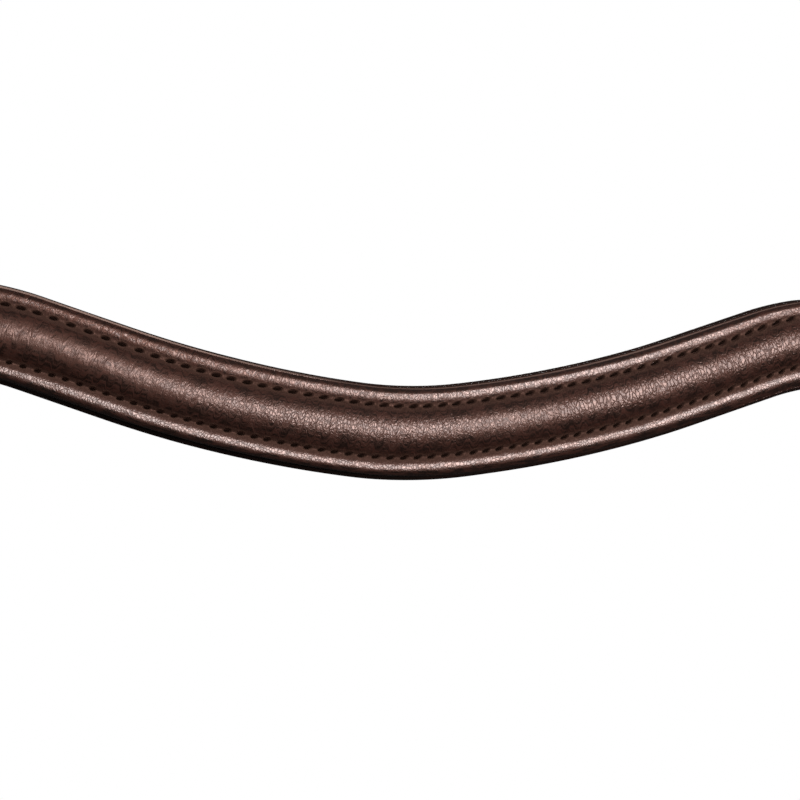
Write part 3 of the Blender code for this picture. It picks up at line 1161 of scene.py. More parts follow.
@dataclass
class PaddedFace:
    """The face leather with its stitch channels, and the fillers that raise its roll and borders."""

    band: Band
    roll_rise: float = 0.0040
    roll_end_rise: float = 0.0004
    roll_flatness: float = 0.03
    roll_overhang: float = 0.0003
    roll_squareness: int = 8
    roll_wander: Table = ((-0.10, 0.0), (-0.065, -0.00035), (-0.02, -0.0001), (0.02, 0.0))
    # where each border's highest line lies, as a share of the way from its channel to its edge
    crown_share: dict[Row, Table] = field(default_factory=lambda: {
        Row.UPPER: (
            (-0.09, 0.41), (-0.05, 0.40), (-0.01, 0.455), (0.03, 0.485), (0.07, 0.445), (0.10, 0.495)
        ),
        Row.LOWER: (
            (-0.09, 0.56), (-0.05, 0.59), (-0.01, 0.585), (0.03, 0.495), (0.06, 0.51), (0.10, 0.43)
        ),
    })
    # how flat the crown is there
    crown_radius: dict[Row, Table] = field(default_factory=lambda: {
        Row.UPPER: ((-0.09, 0.0038), (-0.03, 0.0064), (0.03, 0.0070), (0.07, 0.0056)),
        Row.LOWER: ((-0.09, 0.0072), (-0.05, 0.0060), (0.03, 0.0044), (0.07, 0.0046)),
    })
    shoulder: float = 5.0e10  # how fast the crown's slope grows, with the fourth power of the distance
    flank: float = 32.0  # the steepest slope, in degrees
    # how much of its wax each border has lost
    rubbed_off: dict[Row, Table] = field(default_factory=lambda: {
        Row.UPPER: ((-0.08, 1.0), (0.035, 0.0), (0.072, 0.0), (0.14, 1.0)),
        Row.LOWER: ((-0.07, 0.0), (-0.03, 0.2), (0.03, 0.25), (0.06, 0.1), (0.08, 0.0)),
    })
    pressed_width: float = 0.0014
    pressed_drop: float = 0.0003
    pressed_fade: float = 0.0006
    border_end_share: float = 0.2
    channel_width: float = 0.0006
    station: float = 0.00035
    fine_inside: float = 0.0013
    fine_outside: float = 0.0012
    sample_counts: tuple[int, int, int] = (11, 18, 10)
    inside_inset: float = 0.0012
    inside_steps: int = 19
    edge_lift: float = 0.0001
    least_skin: float = 0.0004
    profile_step: float = 0.00005
    softness: float = 0.00016
    softness_reach: int = 3
    hole_depth: float = 0.00085
    hole_reach: float = 0.005
    hole_steepness: int = 7
    lip_height: float = 0.00006
    rim_offset: float = 0.00022
    rim_width: float = 0.14
    pucker_depth: float = 0.00005
    pucker_reach: float = 0.0015
    turn_width: float = 0.0013
    turn_drop: float = 0.0007
    tucked: float = 0.0004
    border_from: float = 0.0008
    end_round: float = 0.0006
    roll_filler_inset: float = 0.009
    border_filler_inset: float = 0.016
    cord_station: float = 0.001
    strip_station: float = 0.002
    cord_lay: float = 0.012
    cord_groove: float = 0.00025
    cord_sides: int = 25
    strip_inset: float = 0.0011
    strip_steps: int = 12

    def edge_at(self, run: float, row: Row) -> float:
        """How far the leather's edge on this row's side lies from the centre line here."""
        return self.band.strap_half(run) - self.band.face_setback[row] + self.band.swell(run, row)

    def roll_at(self, run: float) -> tuple[float, float, float]:
        """The roll's arc.

        Args:
            run: Where along the band.

        Returns:
            The arc's centre across, half its chord, and its rise over the channels.
        """
        upper, lower = (self.band.seam_across(run, row) for row in Row)
        half = (lower + upper - self.channel_width + self.roll_overhang) / 2
        strayed = read(self.roll_wander, run) - self.roll_overhang / 2
        rise = blend(self.roll_rise, self.roll_end_rise, self.band.fade(run))
        return (upper - lower) / 2 + strayed, half, rise

    def border_over(self, run: float, across: np.ndarray, row: Row) -> np.ndarray:
        """Heights of one border over its channel: a flat crown, round shoulders and straight flanks.

        Args:
            run: Where along the band.
            across: The places across that are read.
            row: Which border.

        Returns:
            The heights, which fall below 0 past the border's foot.
        """
        foot = self.band.seam_across(run, row) + self.channel_width / 2
        top = foot + read(self.crown_share[row], run) * (self.edge_at(run, row) - foot)
        off = np.abs(np.append(row.value * across, foot) - top)
        steps = np.arange(0.0, off.max() + self.profile_step, self.profile_step)
        slopes = steps / read(self.crown_radius[row], run) + self.shoulder * steps**4
        drops = np.cumsum(np.minimum(slopes, tan(radians(self.flank)))) * self.profile_step
        drop = np.interp(off, steps, drops)
        return (drop[-1] - drop[:-1]) * blend(1.0, self.border_end_share, self.band.fade(run))

    def raw_profile(self, run: float, across: np.ndarray) -> np.ndarray:
        """Reads the outer surface over the channels, before its folds are softened.

        Args:
            run: Where along the band.
            across: The places across that are read.

        Returns:
            The heights over the channels.
        """
        centre, half, rise = self.roll_at(run)
        heights = arc_over(across, centre, half, rise)
        top = np.clip(heights / rise, 0.0, 1.0) ** self.roll_squareness
        heights = heights - self.roll_flatness * rise * top
        for row in Row:
            out = row.value * across
            turn_from = self.edge_at(run, row) - self.turn_width
            crowned = np.maximum(heights, self.border_over(run, across, row))
            crowned = np.where(out < turn_from, np.maximum(crowned, 0.0), crowned)
            turned = np.maximum(out - turn_from, 0.0) / self.turn_width
            heights = np.where(out > 0, crowned - self.turn_drop * turned**2, heights)
        return heights

    def profile(self, run: float, across: np.ndarray) -> np.ndarray:
        """Heights of the outer surface, with its folds softened as thick leather does.

        Args:
            run: Where along the band.
            across: The places across that are read.

        Returns:
            The heights in front of the lining's back face.
        """
        reach = self.band.body_width / 2 + self.band.lining_overhang
        fine = np.arange(-reach, reach, self.profile_step)
        spread = int(self.softness_reach * self.softness / self.profile_step)
        kernel = np.exp(-0.5 * (np.arange(-spread, spread + 1) * self.profile_step / self.softness) ** 2)
        padded = np.pad(self.raw_profile(run, fine), spread, mode="edge")
        soft = np.convolve(padded, kernel / kernel.sum(), mode="valid")
        return self.band.channel + np.interp(across, fine, soft)

    def samples(self, run: float) -> np.ndarray:
        """Places where the outer surface is read: closer together round the rows of stitches.

        Args:
            run: Where along the band.

        Returns:
            The places across, from the lower edge to the upper one.
        """
        inner, fine, outer = self.sample_counts
        halves = {}
        for row in Row:
            seam, edge = self.band.seam_across(run, row), self.edge_at(run, row)
            near = seam * (1 - 2 * self.fine_inside / self.band.seam_spacing)
            far = seam + min(self.fine_outside, (edge - seam) / 2)
            halves[row] = np.concatenate([
                np.linspace(0, near, inner, endpoint=False),
                np.linspace(near, far, fine, endpoint=False),
                np.linspace(far, edge - self.edge_lift, outer),
            ])
        return np.concatenate([-halves[Row.LOWER][:0:-1], halves[Row.UPPER]])

    def sew_down(
        self, runs: np.ndarray, across: np.ndarray, heights: np.ndarray
    ) -> tuple[np.ndarray, np.ndarray]:
        """Sinks a slanted hole and a soft pucker into the surface at every stitch.

        Args:
            runs: The run of each row of the surface.
            across: The place across of each point.
            heights: The height of each point, which is changed.

        Returns:
            How deep in a hole each point lies, and how close to a hole's raised rim, from 0 to 1.
        """
        sewn, rims = np.zeros_like(heights), np.zeros_like(heights)
        for seam in SEAMS.values():
            for middle, slant in seam.stitches(self.band):
                here = slice(*np.searchsorted(runs, (middle - self.hole_reach, middle + self.hole_reach)))
                along = (runs[here] - middle)[:, None]
                off = across[here] - np.array([seam.line(self.band, run) for run in runs[here]])[:, None]
                p, q = along * cos(slant) + off * sin(slant), off * cos(slant) - along * sin(slant)
                half, thick = seam.half_at(middle), seam.hole_half_width
                hole_out, rim_out = (
                    np.sqrt((p / (half + wider)) ** 2 + (q / (thick + wider)) ** 2)
                    for wider in (0.0, self.rim_offset)
                )
                hole = np.exp(-(hole_out**self.hole_steepness))
                lip = np.exp(-(((rim_out - 1) / self.rim_width) ** 2))
                pucker = np.exp(-((along / self.pucker_reach) ** 2 + (off / self.pucker_reach) ** 2))
                heights[here] += lip * self.lip_height - hole * self.hole_depth - pucker * self.pucker_depth
                sewn[here] = np.maximum(sewn[here], hole)
                rims[here] = np.maximum(rims[here], lip)
        return sewn, rims

    def zones(self, runs: np.ndarray, across: np.ndarray) -> tuple[np.ndarray, np.ndarray, np.ndarray]:
        """How far each point of the outer surface belongs to each zone, from 0 to 1.

        Args:
            runs: The run of each row of the surface.
            across: The place across of each point.

        Returns:
            The shares of border, of worn border and of pressed channel.
        """
        seams, lines, rubbed = (
            [np.array([read_at(run, row) for run in runs])[:, None] for row in Row]
            for read_at in (
                self.band.seam_across,
                lambda run, row: SEAMS[row].line(self.band, run),
                lambda run, row: read(self.rubbed_off[row], run),
            )
        )
        above = across > 0
        bordered = np.abs(across) - np.where(above, *seams)
        border = np.clip(bordered / self.border_from + 0.5, 0.0, 1.0)
        beside = np.abs(across - np.where(above, *lines) + self.pressed_drop)
        channel = np.clip((self.pressed_width - beside) / self.pressed_fade, 0.0, 1.0)
        return border, border * np.where(above, *rubbed), channel

    def ring(self, run: float, across: np.ndarray, heights: np.ndarray) -> list[Vector]:
        """The leather's ring here: its outer surface, turned edges and plain inside.

        Args:
            run: Where along the band.
            across: The places across of the outer surface.
            heights: Its heights there.

        Returns:
            The ring's points, those of the outer surface first.
        """
        band = self.band
        upper, lower = (self.edge_at(run, row) for row in Row)
        rounding = max(self.end_round - (band.body_end - abs(run)), 0.0)
        drop = self.end_round - sqrt(max(self.end_round**2 - rounding**2, 0.0))
        outer = [(a, max(h - drop, band.face_back + self.edge_lift)) for a, h in zip(across, heights)]
        inside = np.linspace(upper - self.inside_inset, self.inside_inset - lower, self.inside_steps)
        hollow = self.profile(run, inside)
        slope = np.gradient(hollow, inside)
        deep = np.maximum(hollow - band.face_thick * np.sqrt(1 + slope**2), band.face_back)
        under = [(a, min(h, heights.max() - drop - self.least_skin)) for a, h in zip(inside, deep)]
        turn = band.face_back + self.edge_lift / 2
        over_side = [(upper, turn), (upper - self.tucked, band.face_back)]
        under_side = [(self.tucked - lower, band.face_back), (-lower, turn)]
        return [band.place(run, a, h) for a, h in outer + over_side + under + under_side]

    def leather(self) -> bpy.types.Object:
        """Makes the formed face leather.

        Returns:
            The leather.
        """
        runs = stations(self.band.body_end, self.station)
        across = np.array([self.samples(run) for run in runs])
        heights = np.array([self.profile(run, places) for run, places in zip(runs, across)])
        sewn, rims = self.sew_down(runs, across, heights)
        border, worn, channel = self.zones(runs, across)
        rings = [self.ring(*station) for station in zip(runs, across, heights)]
        tags = {SEWN: sewn, BORDER: border, WORN: worn, CHANNEL: channel, RIM: rims}
        finish = PebbledLeather().material()
        made = lofted("pebbled_face_leather", rings, runs, finish, "face_leather", "face_leather", tags)
        return made

    def roll_cord(self) -> bpy.types.Object:
        """Makes the laid cord that raises the middle roll, flat where it lies on the strap.

        Returns:
            The cord.
        """
        band = self.band
        runs = stations(band.body_end - self.roll_filler_inset, self.cord_station)
        rings = []
        for run in runs:
            centre, half, rise = self.roll_at(run)
            radius = (half**2 + rise**2) / (2 * rise)
            inside, foot = radius - band.face_thick - band.gap, radius - rise - band.face_thick
            reach = min(sqrt(inside**2 - foot**2), half - band.face_thick - band.gap)
            angle = asin(min(reach / inside, 1.0))
            ring = [(-reach, 0.0)]
            for turn in np.linspace(-angle, angle, self.cord_sides):
                lay = abs(sin(2 * turn + pi * run / self.cord_lay))
                out = inside - self.cord_groove * (1 - band.fade(run)) * lay
                ring.append((out * sin(turn), max(out * cos(turn) - foot, self.edge_lift / 2)))
            ring.append((reach, 0.0))
            rings.append([band.place(run, centre + u, band.face_back + w) for u, w in ring])
        return lofted("laid_roll_cord", rings, runs, LaidCotton().material(), "filler_cord", "roll_filler")

    def border_strip(self, row: Row) -> bpy.types.Object:
        """Makes the skived strip that crowns one border.

        Args:
            row: Which border.

        Returns:
            The strip.
        """
        band, side = self.band, row.name.lower()
        runs = stations(band.body_end - self.border_filler_inset, self.strip_station)
        rings = []
        for run in runs:
            near = band.seam_across(run, row) + self.strip_inset
            far = self.edge_at(run, row) - self.strip_inset
            across = row.value * np.linspace(near, far, self.strip_steps)
            tops = self.profile(run, across) - band.face_thick - band.gap
            tops = np.maximum(tops, band.face_back + self.edge_lift / 2)
            ring = [(across[0], band.face_back), *zip(across, tops), (across[-1], band.face_back)]
            rings.append([band.place(run, a, w) for a, w in ring])
        finish = SkivedStrip().material()
        return lofted(f"{side}_skived_strip", rings, runs, finish, "filler_strip", f"{side}_border_filler")

    def build(self) -> list[bpy.types.Object]:
        """Every piece of the padded face."""
        return [self.leather(), self.roll_cord(), *[self.border_strip(row) for row in Row]]


@dataclass
class CarryingStrap:
    """The strap that carries every layer, with both ends turned back into loops."""

    band: Band
    loop_length: float = 0.048
    loop_depth: float = 0.008
    throat_radius: float = 0.012
    edge_round: float = 0.00045
    highlight_width: float = 0.0006
    ink_start: float = 0.5  # the share of ink where the painted edge highlight starts
    highlight_end: float = 0.3  # the share of painted highlight where it ends
    flesh_start: float = 0.3  # the share of flesh on the back edges' rounding
    edge_steps: int = 4
    flat_steps: int = 6
    fold_steps: int = 16
    least_steps: int = 2
    station: float = 0.002

    @property
    def fold_radius(self) -> float:
        """Radius of the strap's middle round the fold."""
        return (self.loop_depth + self.band.strap_thick) / 2

    def loop_runs(self) -> list[Point]:
        """The loop's runs, seen from above: out, round the fold, back, and in through the throat.

        Returns:
            Each run's length and curvature.
        """
        shift = 2 * self.fold_radius - self.band.strap_thick - self.band.gap
        bend = acos(1 - shift / (2 * self.throat_radius))
        throat = 2 * self.throat_radius * sin(bend)
        return [
            (self.loop_length, 0.0),
            (pi * self.fold_radius, 1 / self.fold_radius),
            (self.loop_length - throat, 0.0),
            (self.throat_radius * bend, 1 / self.throat_radius),
            (self.throat_radius * bend, -1 / self.throat_radius),
            (self.band.tail_length, 0.0),
        ]

    def section(self, half: float) -> list[tuple[float, float, float, float, float]]:
        """The strap's ring at this half width.

        Args:
            half: Half the width here.

        Returns:
            Each point's place across, height over the middle, and shares of inked edge, of flesh side and
            of the painted highlight on the upper front edge.
        """
        thick, bevel = self.band.strap_thick / 2, self.edge_round
        a, w = half - bevel, thick - bevel  # where the front upper edge's rounding has its centre
        flat = [float(place) for place in np.linspace(-1, 1, self.flat_steps + 1) * a]
        turns = [(bevel * sin(t), bevel * cos(t)) for t in (
            pi / 2 * i / self.edge_steps for i in range(1, self.edge_steps)
        )]
        return [
            *[(place, thick, 0.0, 0.0, 0.0) for place in flat[:-1]],
            (a - self.highlight_width, thick, 0.0, 0.0, 0.0),
            (a, thick, self.ink_start, 0.0, 1.0),
            *[(a + s, w + c, 1.0, 0.0, 1.0) for s, c in turns],
            (half, w, 1.0, 0.0, self.highlight_end),
            (half, -w, 1.0, 0.0, 0.0),
            *[(a + c, -w - s, 1.0, self.flesh_start, 0.0) for s, c in turns],
            *[(-place, -thick, 0.0, 1.0, 0.0) for place in flat],
            *[(-a - s, -w - c, 1.0, self.flesh_start, 0.0) for s, c in turns],
            (-half, -w, 1.0, 0.0, 0.0),
            (-half, w, 1.0, 0.0, 0.0),
            *[(-a - c, w + s, 1.0, 0.0, 0.0) for s, c in turns],
        ]

    def half_rings(self) -> tuple[list[list[Vector]], list[float]]:
        """The rings of the right half, from the middle out, round the loop and back to the tail's end.

        Returns:
            The rings, and how far along the strap each lies.
        """
        band = self.band
        middle = (band.strap_back + band.strap_front) / 2
        count = round(band.loop_from / self.station)
        along = [band.loop_from * i / count for i in range(count + 1)]
        rings = [
            [band.place(run, a, middle + w) for a, w, *_ in self.section(band.strap_half(run))]
            for run in along
        ]
        start = band.place(band.loop_from, 0, middle)
        ring = self.section(band.strap_end_width / 2)
        runs, gone = self.loop_runs(), 0.0
        for length, curve in runs:
            least = self.fold_steps if curve == 1 / self.fold_radius else self.least_steps
            steps = max(round(length / self.station), least)
            for i in range(1, steps + 1):
                x, y, heading = follow(runs, gone + length * i / steps, (start.x, start.y))
                out = Vector((sin(heading), -cos(heading), 0))
                rings.append([Vector((x, y, start.z + a)) + out * w for a, w, *_ in ring])
                along.append(band.loop_from + gone + length * i / steps)
            gone += length
        return rings, along

    def build(self) -> list[bpy.types.Object]:
        """Makes the strap, its tails' ends closed.

        Returns:
            The strap alone, in a list.
        """
        rings, along = self.half_rings()
        left = [[Vector((-p.x, p.y, p.z)) for p in ring] for ring in reversed(rings)]
        runs = np.array([-a for a in reversed(along)][:-1] + along)
        tags = dict(zip((EDGE, FLESH, EDGE_HIGHLIGHT), np.array(self.section(self.band.strap_half(0))).T[2:]))
        finish = BridleLeather().material()
        return [lofted("turned_strap", left[:-1] + rings, runs, finish, "strap_leather", "strap", tags)]


@dataclass
class SoftBack:
    """The lining that is rolled round a thin foam pad and drawn in by both rows of stitches."""

    band: Band
    draw_depth: float = 0.0009
    draw_spread: float = 0.00133
    station: float = 0.0006
    edge_steps: int = 10
    back_steps: int = 49
    inside_steps: int = 25
    tuck_inset: float = 0.0006
    pucker_depth: float = 0.00018
    pucker_spread: Point = (0.0012, 0.0014)
    pad_station: float = 0.003
    pad_steps: int = 33
    pad_bevel: float = 0.0001
    pad_flat_share: float = 0.2

    def back_profile(self, run: float, across: np.ndarray) -> np.ndarray:
        """Heights of the lining's back face, with a soft furrow along each row.

        Args:
            run: Where along the band.
            across: The places across that are read.

        Returns:
            The heights.
        """
        drawn = np.zeros_like(across)
        for row in Row:
            off = across - row.value * self.band.seam_across(run, row)
            drawn = np.maximum(drawn, np.exp(-((off / self.draw_spread) ** 2)))
        return self.band.lining_back(run) + drawn * self.draw_depth * (1 - self.band.fade(run))

    def pucker(self, run: float, across: np.ndarray) -> np.ndarray:
        """How far each place is pulled in by the nearest stitches.

        Args:
            run: Where along the band.
            across: The places across that are read.

        Returns:
            The depths.
        """
        pulled = np.zeros_like(across)
        along, wide = self.pucker_spread
        for row, seam in SEAMS.items():
            nearest = min(abs(middle - run) for middle, _ in seam.stitches(self.band))
            off = across - row.value * self.band.seam_across(run, row)
            pulled += np.exp(-((nearest / along) ** 2 + (off / wide) ** 2))
        return pulled * self.pucker_depth * (1 - self.band.fade(run))

    def lining_ring(self, run: float) -> list[Vector]:
        """The lining's ring here: its back, rolled over both edges, tucked in and closed over its inside.

        Args:
            run: Where along the band.

        Returns:
            The ring's points.
        """
        band, thick = self.band, self.band.lining_thick
        back = band.lining_back(run)
        radius = (band.strap_back - band.gap - back) / 2
        edge = band.strap_half(run) + band.lining_overhang - radius
        flat, inside = np.linspace(-edge, edge, self.back_steps), np.linspace(edge, -edge, self.inside_steps)
        heights = self.back_profile(run, flat) + self.pucker(run, flat)
        floor = self.back_profile(run, inside) + thick
        turns = [pi * i / self.edge_steps for i in range(1, self.edge_steps + 1)]
        tucked, hollow = edge - self.tuck_inset, radius - thick
        half = [
            *[(edge + radius * sin(t), back + radius * (1 - cos(t))) for t in turns],
            (tucked, back + 2 * radius),
            (tucked, back + 2 * radius - thick),
            *[(edge + hollow * sin(t), back + radius - hollow * cos(t)) for t in reversed(turns[1::2])],
        ]
        mirrored_half = [(-a, w) for a, w in reversed(half)]
        over, under = (band.swell(run, row) for row in Row)
        ring = []
        for a, w in [*zip(flat, heights), *half, *zip(inside, floor), *mirrored_half]:
            swollen = a + max(abs(a) - edge, 0.0) / radius * (over if a > 0 else -under)
            ring.append(band.place(run, swollen, w))
        return ring

    def lining(self) -> bpy.types.Object:
        """Makes the soft lining, closed over its thickness.

        Returns:
            The lining.
        """
        runs = stations(self.band.body_end, self.station)
        rings = [self.lining_ring(run) for run in runs]
        finish = LiningLeather().material()
        made = lofted("soft_lining", rings, runs, finish, "lining_leather", "lining_leather")
        return made

    def pad(self) -> bpy.types.Object:
        """Makes the foam between strap and lining, pinched along both rows.

        Returns:
            The pad.
        """
        band = self.band
        runs = stations(band.body_end - band.gap, self.pad_station)
        rings = []
        for run in runs:
            rolled = (band.strap_back - band.gap - band.lining_back(run)) / 2
            edge = band.strap_half(run) + band.lining_overhang - rolled - band.gap
            across = np.linspace(-edge, edge, self.pad_steps)
            floor = self.back_profile(run, across) + band.lining_thick + band.gap
            top, side, flat = band.pad_front, band.pad_front - self.pad_bevel, self.pad_flat_share * edge
            inner = edge - 2 * self.pad_bevel
            section = [*zip(across, np.minimum(floor, side)), (edge, side), (inner, top), (flat, top)]
            section += [(-flat, top), (-inner, top), (-edge, side)]
            rings.append([band.place(run, a, w) for a, w in section])
        made = lofted("foam_pad", rings, runs, PadFoam().material(), "pad_foam", "backing_pad")
        return made

    def build(self) -> list[bpy.types.Object]:
        """Every piece of the soft back."""
        return [self.lining(), self.pad()]


@dataclass(frozen=True)
class Dash:
    """One stitch as it shows: a straight thread from start to stop whose ends dive into the leather."""

    start: Point
    stop: Point
    height: float

    def point(self, band: Band, dive: float, t: float) -> Vector:
        """The thread's middle at t, from -1 at its start to 1 at its stop.

        Args:
            band: The band that it is sewn on.
            dive: How much its height changes towards both ends.
            t: Where along it.

        Returns:
            The point.
        """
        run, across = (blend(a, b, (1 + t) / 2) for a, b in zip(self.start, self.stop))
        return band.place(run, across, self.height + dive * t**END_POWER)


@dataclass
class Sewing:
    """Every stitch that shows: both long rows on face and back, and the rows that close the loops."""

    band: Band
    radius: dict[Side, float] = field(default_factory=lambda: {Side.FRONT: 0.00036, Side.BACK: 0.00030})
    squash: float = 0.8  # the thread's thickness out of the leather, as a share of its width
    sides: int = 8
    steps: int = 6
    tangent_reach: float = 0.1
    uv_step_mm: Point = (0.4, 0.3)
    sunk: float = 0.00066
    dive: float = 0.0003
    face_share: float = 0.94
    back_share: float = 0.84
    back_depth: float = 0.0009
    back_lift: float = 0.00005
    back_dive: float = 0.0005
    loop_stitch: float = 0.0039
    loop_dash: float = 0.0029
    loop_inset: float = 0.003
    loop_setback: float = 0.0015
    loop_lift: float = 0.0001
    loop_dive: float = 0.0004

    @cached_property
    def thread(self) -> bpy.types.Material:
        """The thread that all rows share."""
        return WaxedThread().material()

    def sew(self, name: str, node: str, side: Side, dive: float, dashes: list[Dash]) -> bpy.types.Object:
        """Makes one row of short threads with round ends.

        Args:
            name: The row's name.
            node: The CAD node that it replaces.
            side: The side of the band that it shows on.
            dive: How far the threads' ends dive into the leather.
            dashes: Its stitches.

        Returns:
            The row's object.
        """
        bm = bmesh.new()
        out = Vector((0, -side.value, 0))
        turns = [tau * k / self.sides for k in range(self.sides + 1)]
        mm = np.moveaxis(np.mgrid[:self.steps + 1, :self.sides + 1], 0, -1) * self.uv_step_mm
        for dash in dashes:
            point_at = partial(dash.point, self.band, -side.value * dive)
            rows = []
            for i in range(self.steps + 1):
                t = -cos(pi * i / self.steps)
                before, after = max(t - self.tangent_reach, -1), min(t + self.tangent_reach, 1)
                ahead = (point_at(after) - point_at(before)).normalized()
                across = ahead.cross(out).normalized()
                lift = across.cross(ahead).normalized()
                size = self.radius[side] * sqrt(max(1 - abs(t) ** END_POWER, 0.0))
                rows.append([
                    tuple(point_at(t) + across * cos(a) * size + lift * sin(a) * size * self.squash)
                    for a in turns
                ])
            add_grid(bm, np.array(rows), mm)
        return finished(name, bm, self.thread, "thread", node)

    def needle_row(self, row: Row) -> bpy.types.Object:
        """Makes the dashes in one channel of the face, sunk between the edges of their holes.

        Args:
            row: Which row.

        Returns:
            The row's object.
        """
        band, seam, name = self.band, SEAMS[row], row.name.lower()
        dashes = []
        for middle, slant in seam.stitches(band):
            half, line = seam.half_at(middle) * self.face_share, seam.line(band, middle)
            u, w = cos(slant) * half, sin(slant) * half
            dashes.append(Dash((middle - u, line - w), (middle + u, line + w), band.channel - self.sunk))
        node = f"{name}_seam_needle_thread"
        return self.sew(f"{name}_needle_stitches", node, Side.FRONT, self.dive, dashes)

    def bobbin_row(self, row: Row) -> bpy.types.Object:
        """Makes the dashes in one furrow of the lining.

        Args:
            row: Which row.

        Returns:
            The row's object.
        """
        band, name = self.band, row.name.lower()
        middles = [middle for middle, _ in SEAMS[row].stitches(band)]
        dashes = []
        for near, far in zip(middles, middles[1:]):
            middle, half = (near + far) / 2, (far - near) / 2 * self.back_share
            line = row.value * band.seam_across(middle, row)
            floor = band.lining_back(middle) + self.back_depth * (1 - band.fade(middle)) - self.back_lift
            dashes.append(Dash((middle - half, line), (middle + half, line), floor))
        node = f"{name}_seam_bobbin_thread"
        return self.sew(f"{name}_bobbin_stitches", node, Side.BACK, self.back_dive, dashes)

    def loop_row(self, hand: Hand, side: Side) -> bpy.types.Object:
        """Makes the dashes that sew one loop's tail down along three sides.

        Args:
            hand: Which end of the band.
            side: The side of the band that they show on.

        Returns:
            The row's object.
        """
        band, name = self.band, f"{hand.name}_loop_{side.name}".lower()
        up = band.strap_end_width / 2 - self.loop_inset
        near, far = band.tail_from + self.loop_inset, band.loop_from - self.loop_setback
        corners = [(near, up), (far, up), (far, -up), (near, -up)]
        tail_back = band.strap_back - band.gap - band.strap_thick
        height = band.strap_front + self.loop_lift if side is Side.FRONT else tail_back - self.loop_lift
        dashes = []
        for (u, w), (next_u, next_w) in zip(corners, corners[1:]):
            length = abs(next_u - u) + abs(next_w - w)
            count = round(length / self.loop_stitch)
            half = self.loop_dash / length / 2
            for i in range(count):
                start, stop = (
                    (hand.value * blend(u, next_u, share), blend(w, next_w, share))
                    for share in ((i + 0.5) / count - half, (i + 0.5) / count + half)
                )
                dashes.append(Dash(start, stop, height))
        return self.sew(f"{name}_stitches", f"{name}_thread", side, self.loop_dive, dashes)

    def build(self) -> list[bpy.types.Object]:
        """Makes every row of stitches.

        Returns:
            The rows' objects.
        """
        long_rows = [make(row) for row in Row for make in (self.needle_row, self.bobbin_row)]
        return long_rows + [self.loop_row(hand, side) for hand in Hand for side in Side]


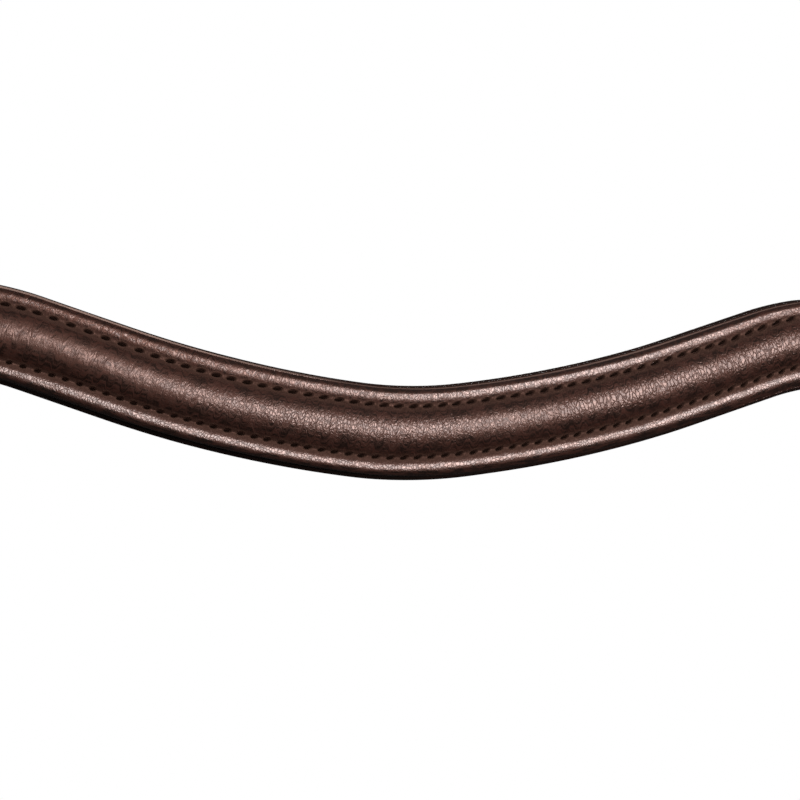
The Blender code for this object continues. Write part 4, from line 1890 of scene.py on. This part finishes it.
@dataclass(frozen=True)
class Studio:
    """The photograph's camera, a soft box in front of the band, and white paper far below it."""

    yaw: float = 0.2235
    pitch: float = 0.0887
    roll: float = 0.009
    distance: float = 0.5896
    lens: float = 99.24
    target: tuple[float, float, float] = (-0.00167, 0.0, 0.00877)
    box_distance: float = 0.9
    key: Point = (19.0, 9.5)
    key_size: Point = (0.70, 0.48)
    key_power: float = 6.95
    back_fills: tuple[Point, Point] = ((150.0, 13.0), (-150.0, 13.0))
    fill_size: Point = (0.5, 0.4)
    fill_power: float = 4.5
    world_strength: Point = (0.005, 0.065)  # below and above
    world_range: Point = (-0.1, 0.6)
    floor_height: float = -0.16
    floor_radius: float = 0.62
    floor_sides: int = 96

    def camera(self) -> None:
        """Sets the camera a little left of the band and below it, as the photograph was taken."""
        ahead = Vector((sin(self.yaw) * cos(self.pitch), cos(self.yaw) * cos(self.pitch), sin(self.pitch)))
        right = ahead.cross(Vector((0, 0, 1))).normalized()
        up = right.cross(ahead)
        right, up = right * cos(self.roll) - up * sin(self.roll), right * sin(self.roll) + up * cos(self.roll)
        data = bpy.data.cameras.new("photograph")
        data.lens = self.lens
        made = add_object("photograph", data)
        turned = Matrix((right, up, -ahead)).transposed().to_4x4()
        made.matrix_world = Matrix.Translation(Vector(self.target) - ahead * self.distance) @ turned
        bpy.context.scene.camera = made

    def soft_box(self, name: str, azimuth: float, elevation: float, size: Point, power: float) -> None:
        """Adds one soft box that looks at the band.

        Args:
            name: Its name.
            azimuth: Degrees to the right of the band's front.
            elevation: Degrees above it.
            size: Its width and height.
            power: Its power in watts.
        """
        data = bpy.data.lights.new(name, "AREA")
        data.shape, data.size, data.size_y, data.energy = "RECTANGLE", *size, power
        made = add_object(name, data)
        turn, lift = radians(azimuth), radians(elevation)
        towards = Vector((sin(turn) * cos(lift), -cos(turn) * cos(lift), sin(lift)))
        made.location = towards * self.box_distance
        made.rotation_euler = (-made.location).to_track_quat("-Z", "Y").to_euler()

    def surround(self) -> None:
        """A dim world, brighter from above, that the camera sees as white."""
        world = bpy.data.worlds.new("white_studio")
        world.use_nodes = True
        world.node_tree.nodes.clear()
        add = partial(add_node, world.node_tree)
        seen = add("LightPath").outputs["Is Camera Ray"]
        up = add("SeparateXYZ", {0: add("TexCoord").outputs["Generated"]}).outputs["Z"]
        ends, levels = span("From", self.world_range), span("To", self.world_strength)
        sky = add("MapRange", {"Value": up, **ends, **levels})
        strength = add("Math", {0: seen, 1: sky}, operation="MAXIMUM")
        light = add("Background", {"Color": (1.0, 1.0, 1.0, 1.0), "Strength": strength})
        add("OutputWorld", {"Surface": light})
        bpy.context.scene.world = world

    def floor(self) -> None:
        """White paper below the photograph's frame."""
        bm = bmesh.new()
        bmesh.ops.create_circle(bm, cap_ends=True, segments=self.floor_sides, radius=self.floor_radius)
        bmesh.ops.translate(bm, verts=bm.verts, vec=(0, 0, self.floor_height))
        mesh = bpy.data.meshes.new("paper_floor")
        bm.to_mesh(mesh)
        bm.free()
        mesh.materials.append(PaperSweep().material())
        made = add_object("paper_floor", mesh)

    def build(self) -> None:
        """Everything round the band."""
        self.camera()
        self.soft_box("key_box", *self.key, self.key_size, self.key_power)
        for hand, place in zip(Hand, self.back_fills):
            self.soft_box(f"{hand.name.lower()}_back_fill", *place, self.fill_size, self.fill_power)
        self.surround()
        self.floor()
        bpy.context.scene.view_settings.view_transform = "Standard"


def main() -> None:
    """Builds the studio and every sub-assembly in order, and reports each piece."""
    logging.basicConfig(level=logging.INFO, format="%(name)s: %(message)s")
    band = Band()
    Studio().build()
    for assembly in (PaddedFace(band), CarryingStrap(band), SoftBack(band), Sewing(band)):
        pieces = assembly.build()
        log.info("%s has %d pieces", type(assembly).__name__, len(pieces))


if __name__ == "__main__":
    main()
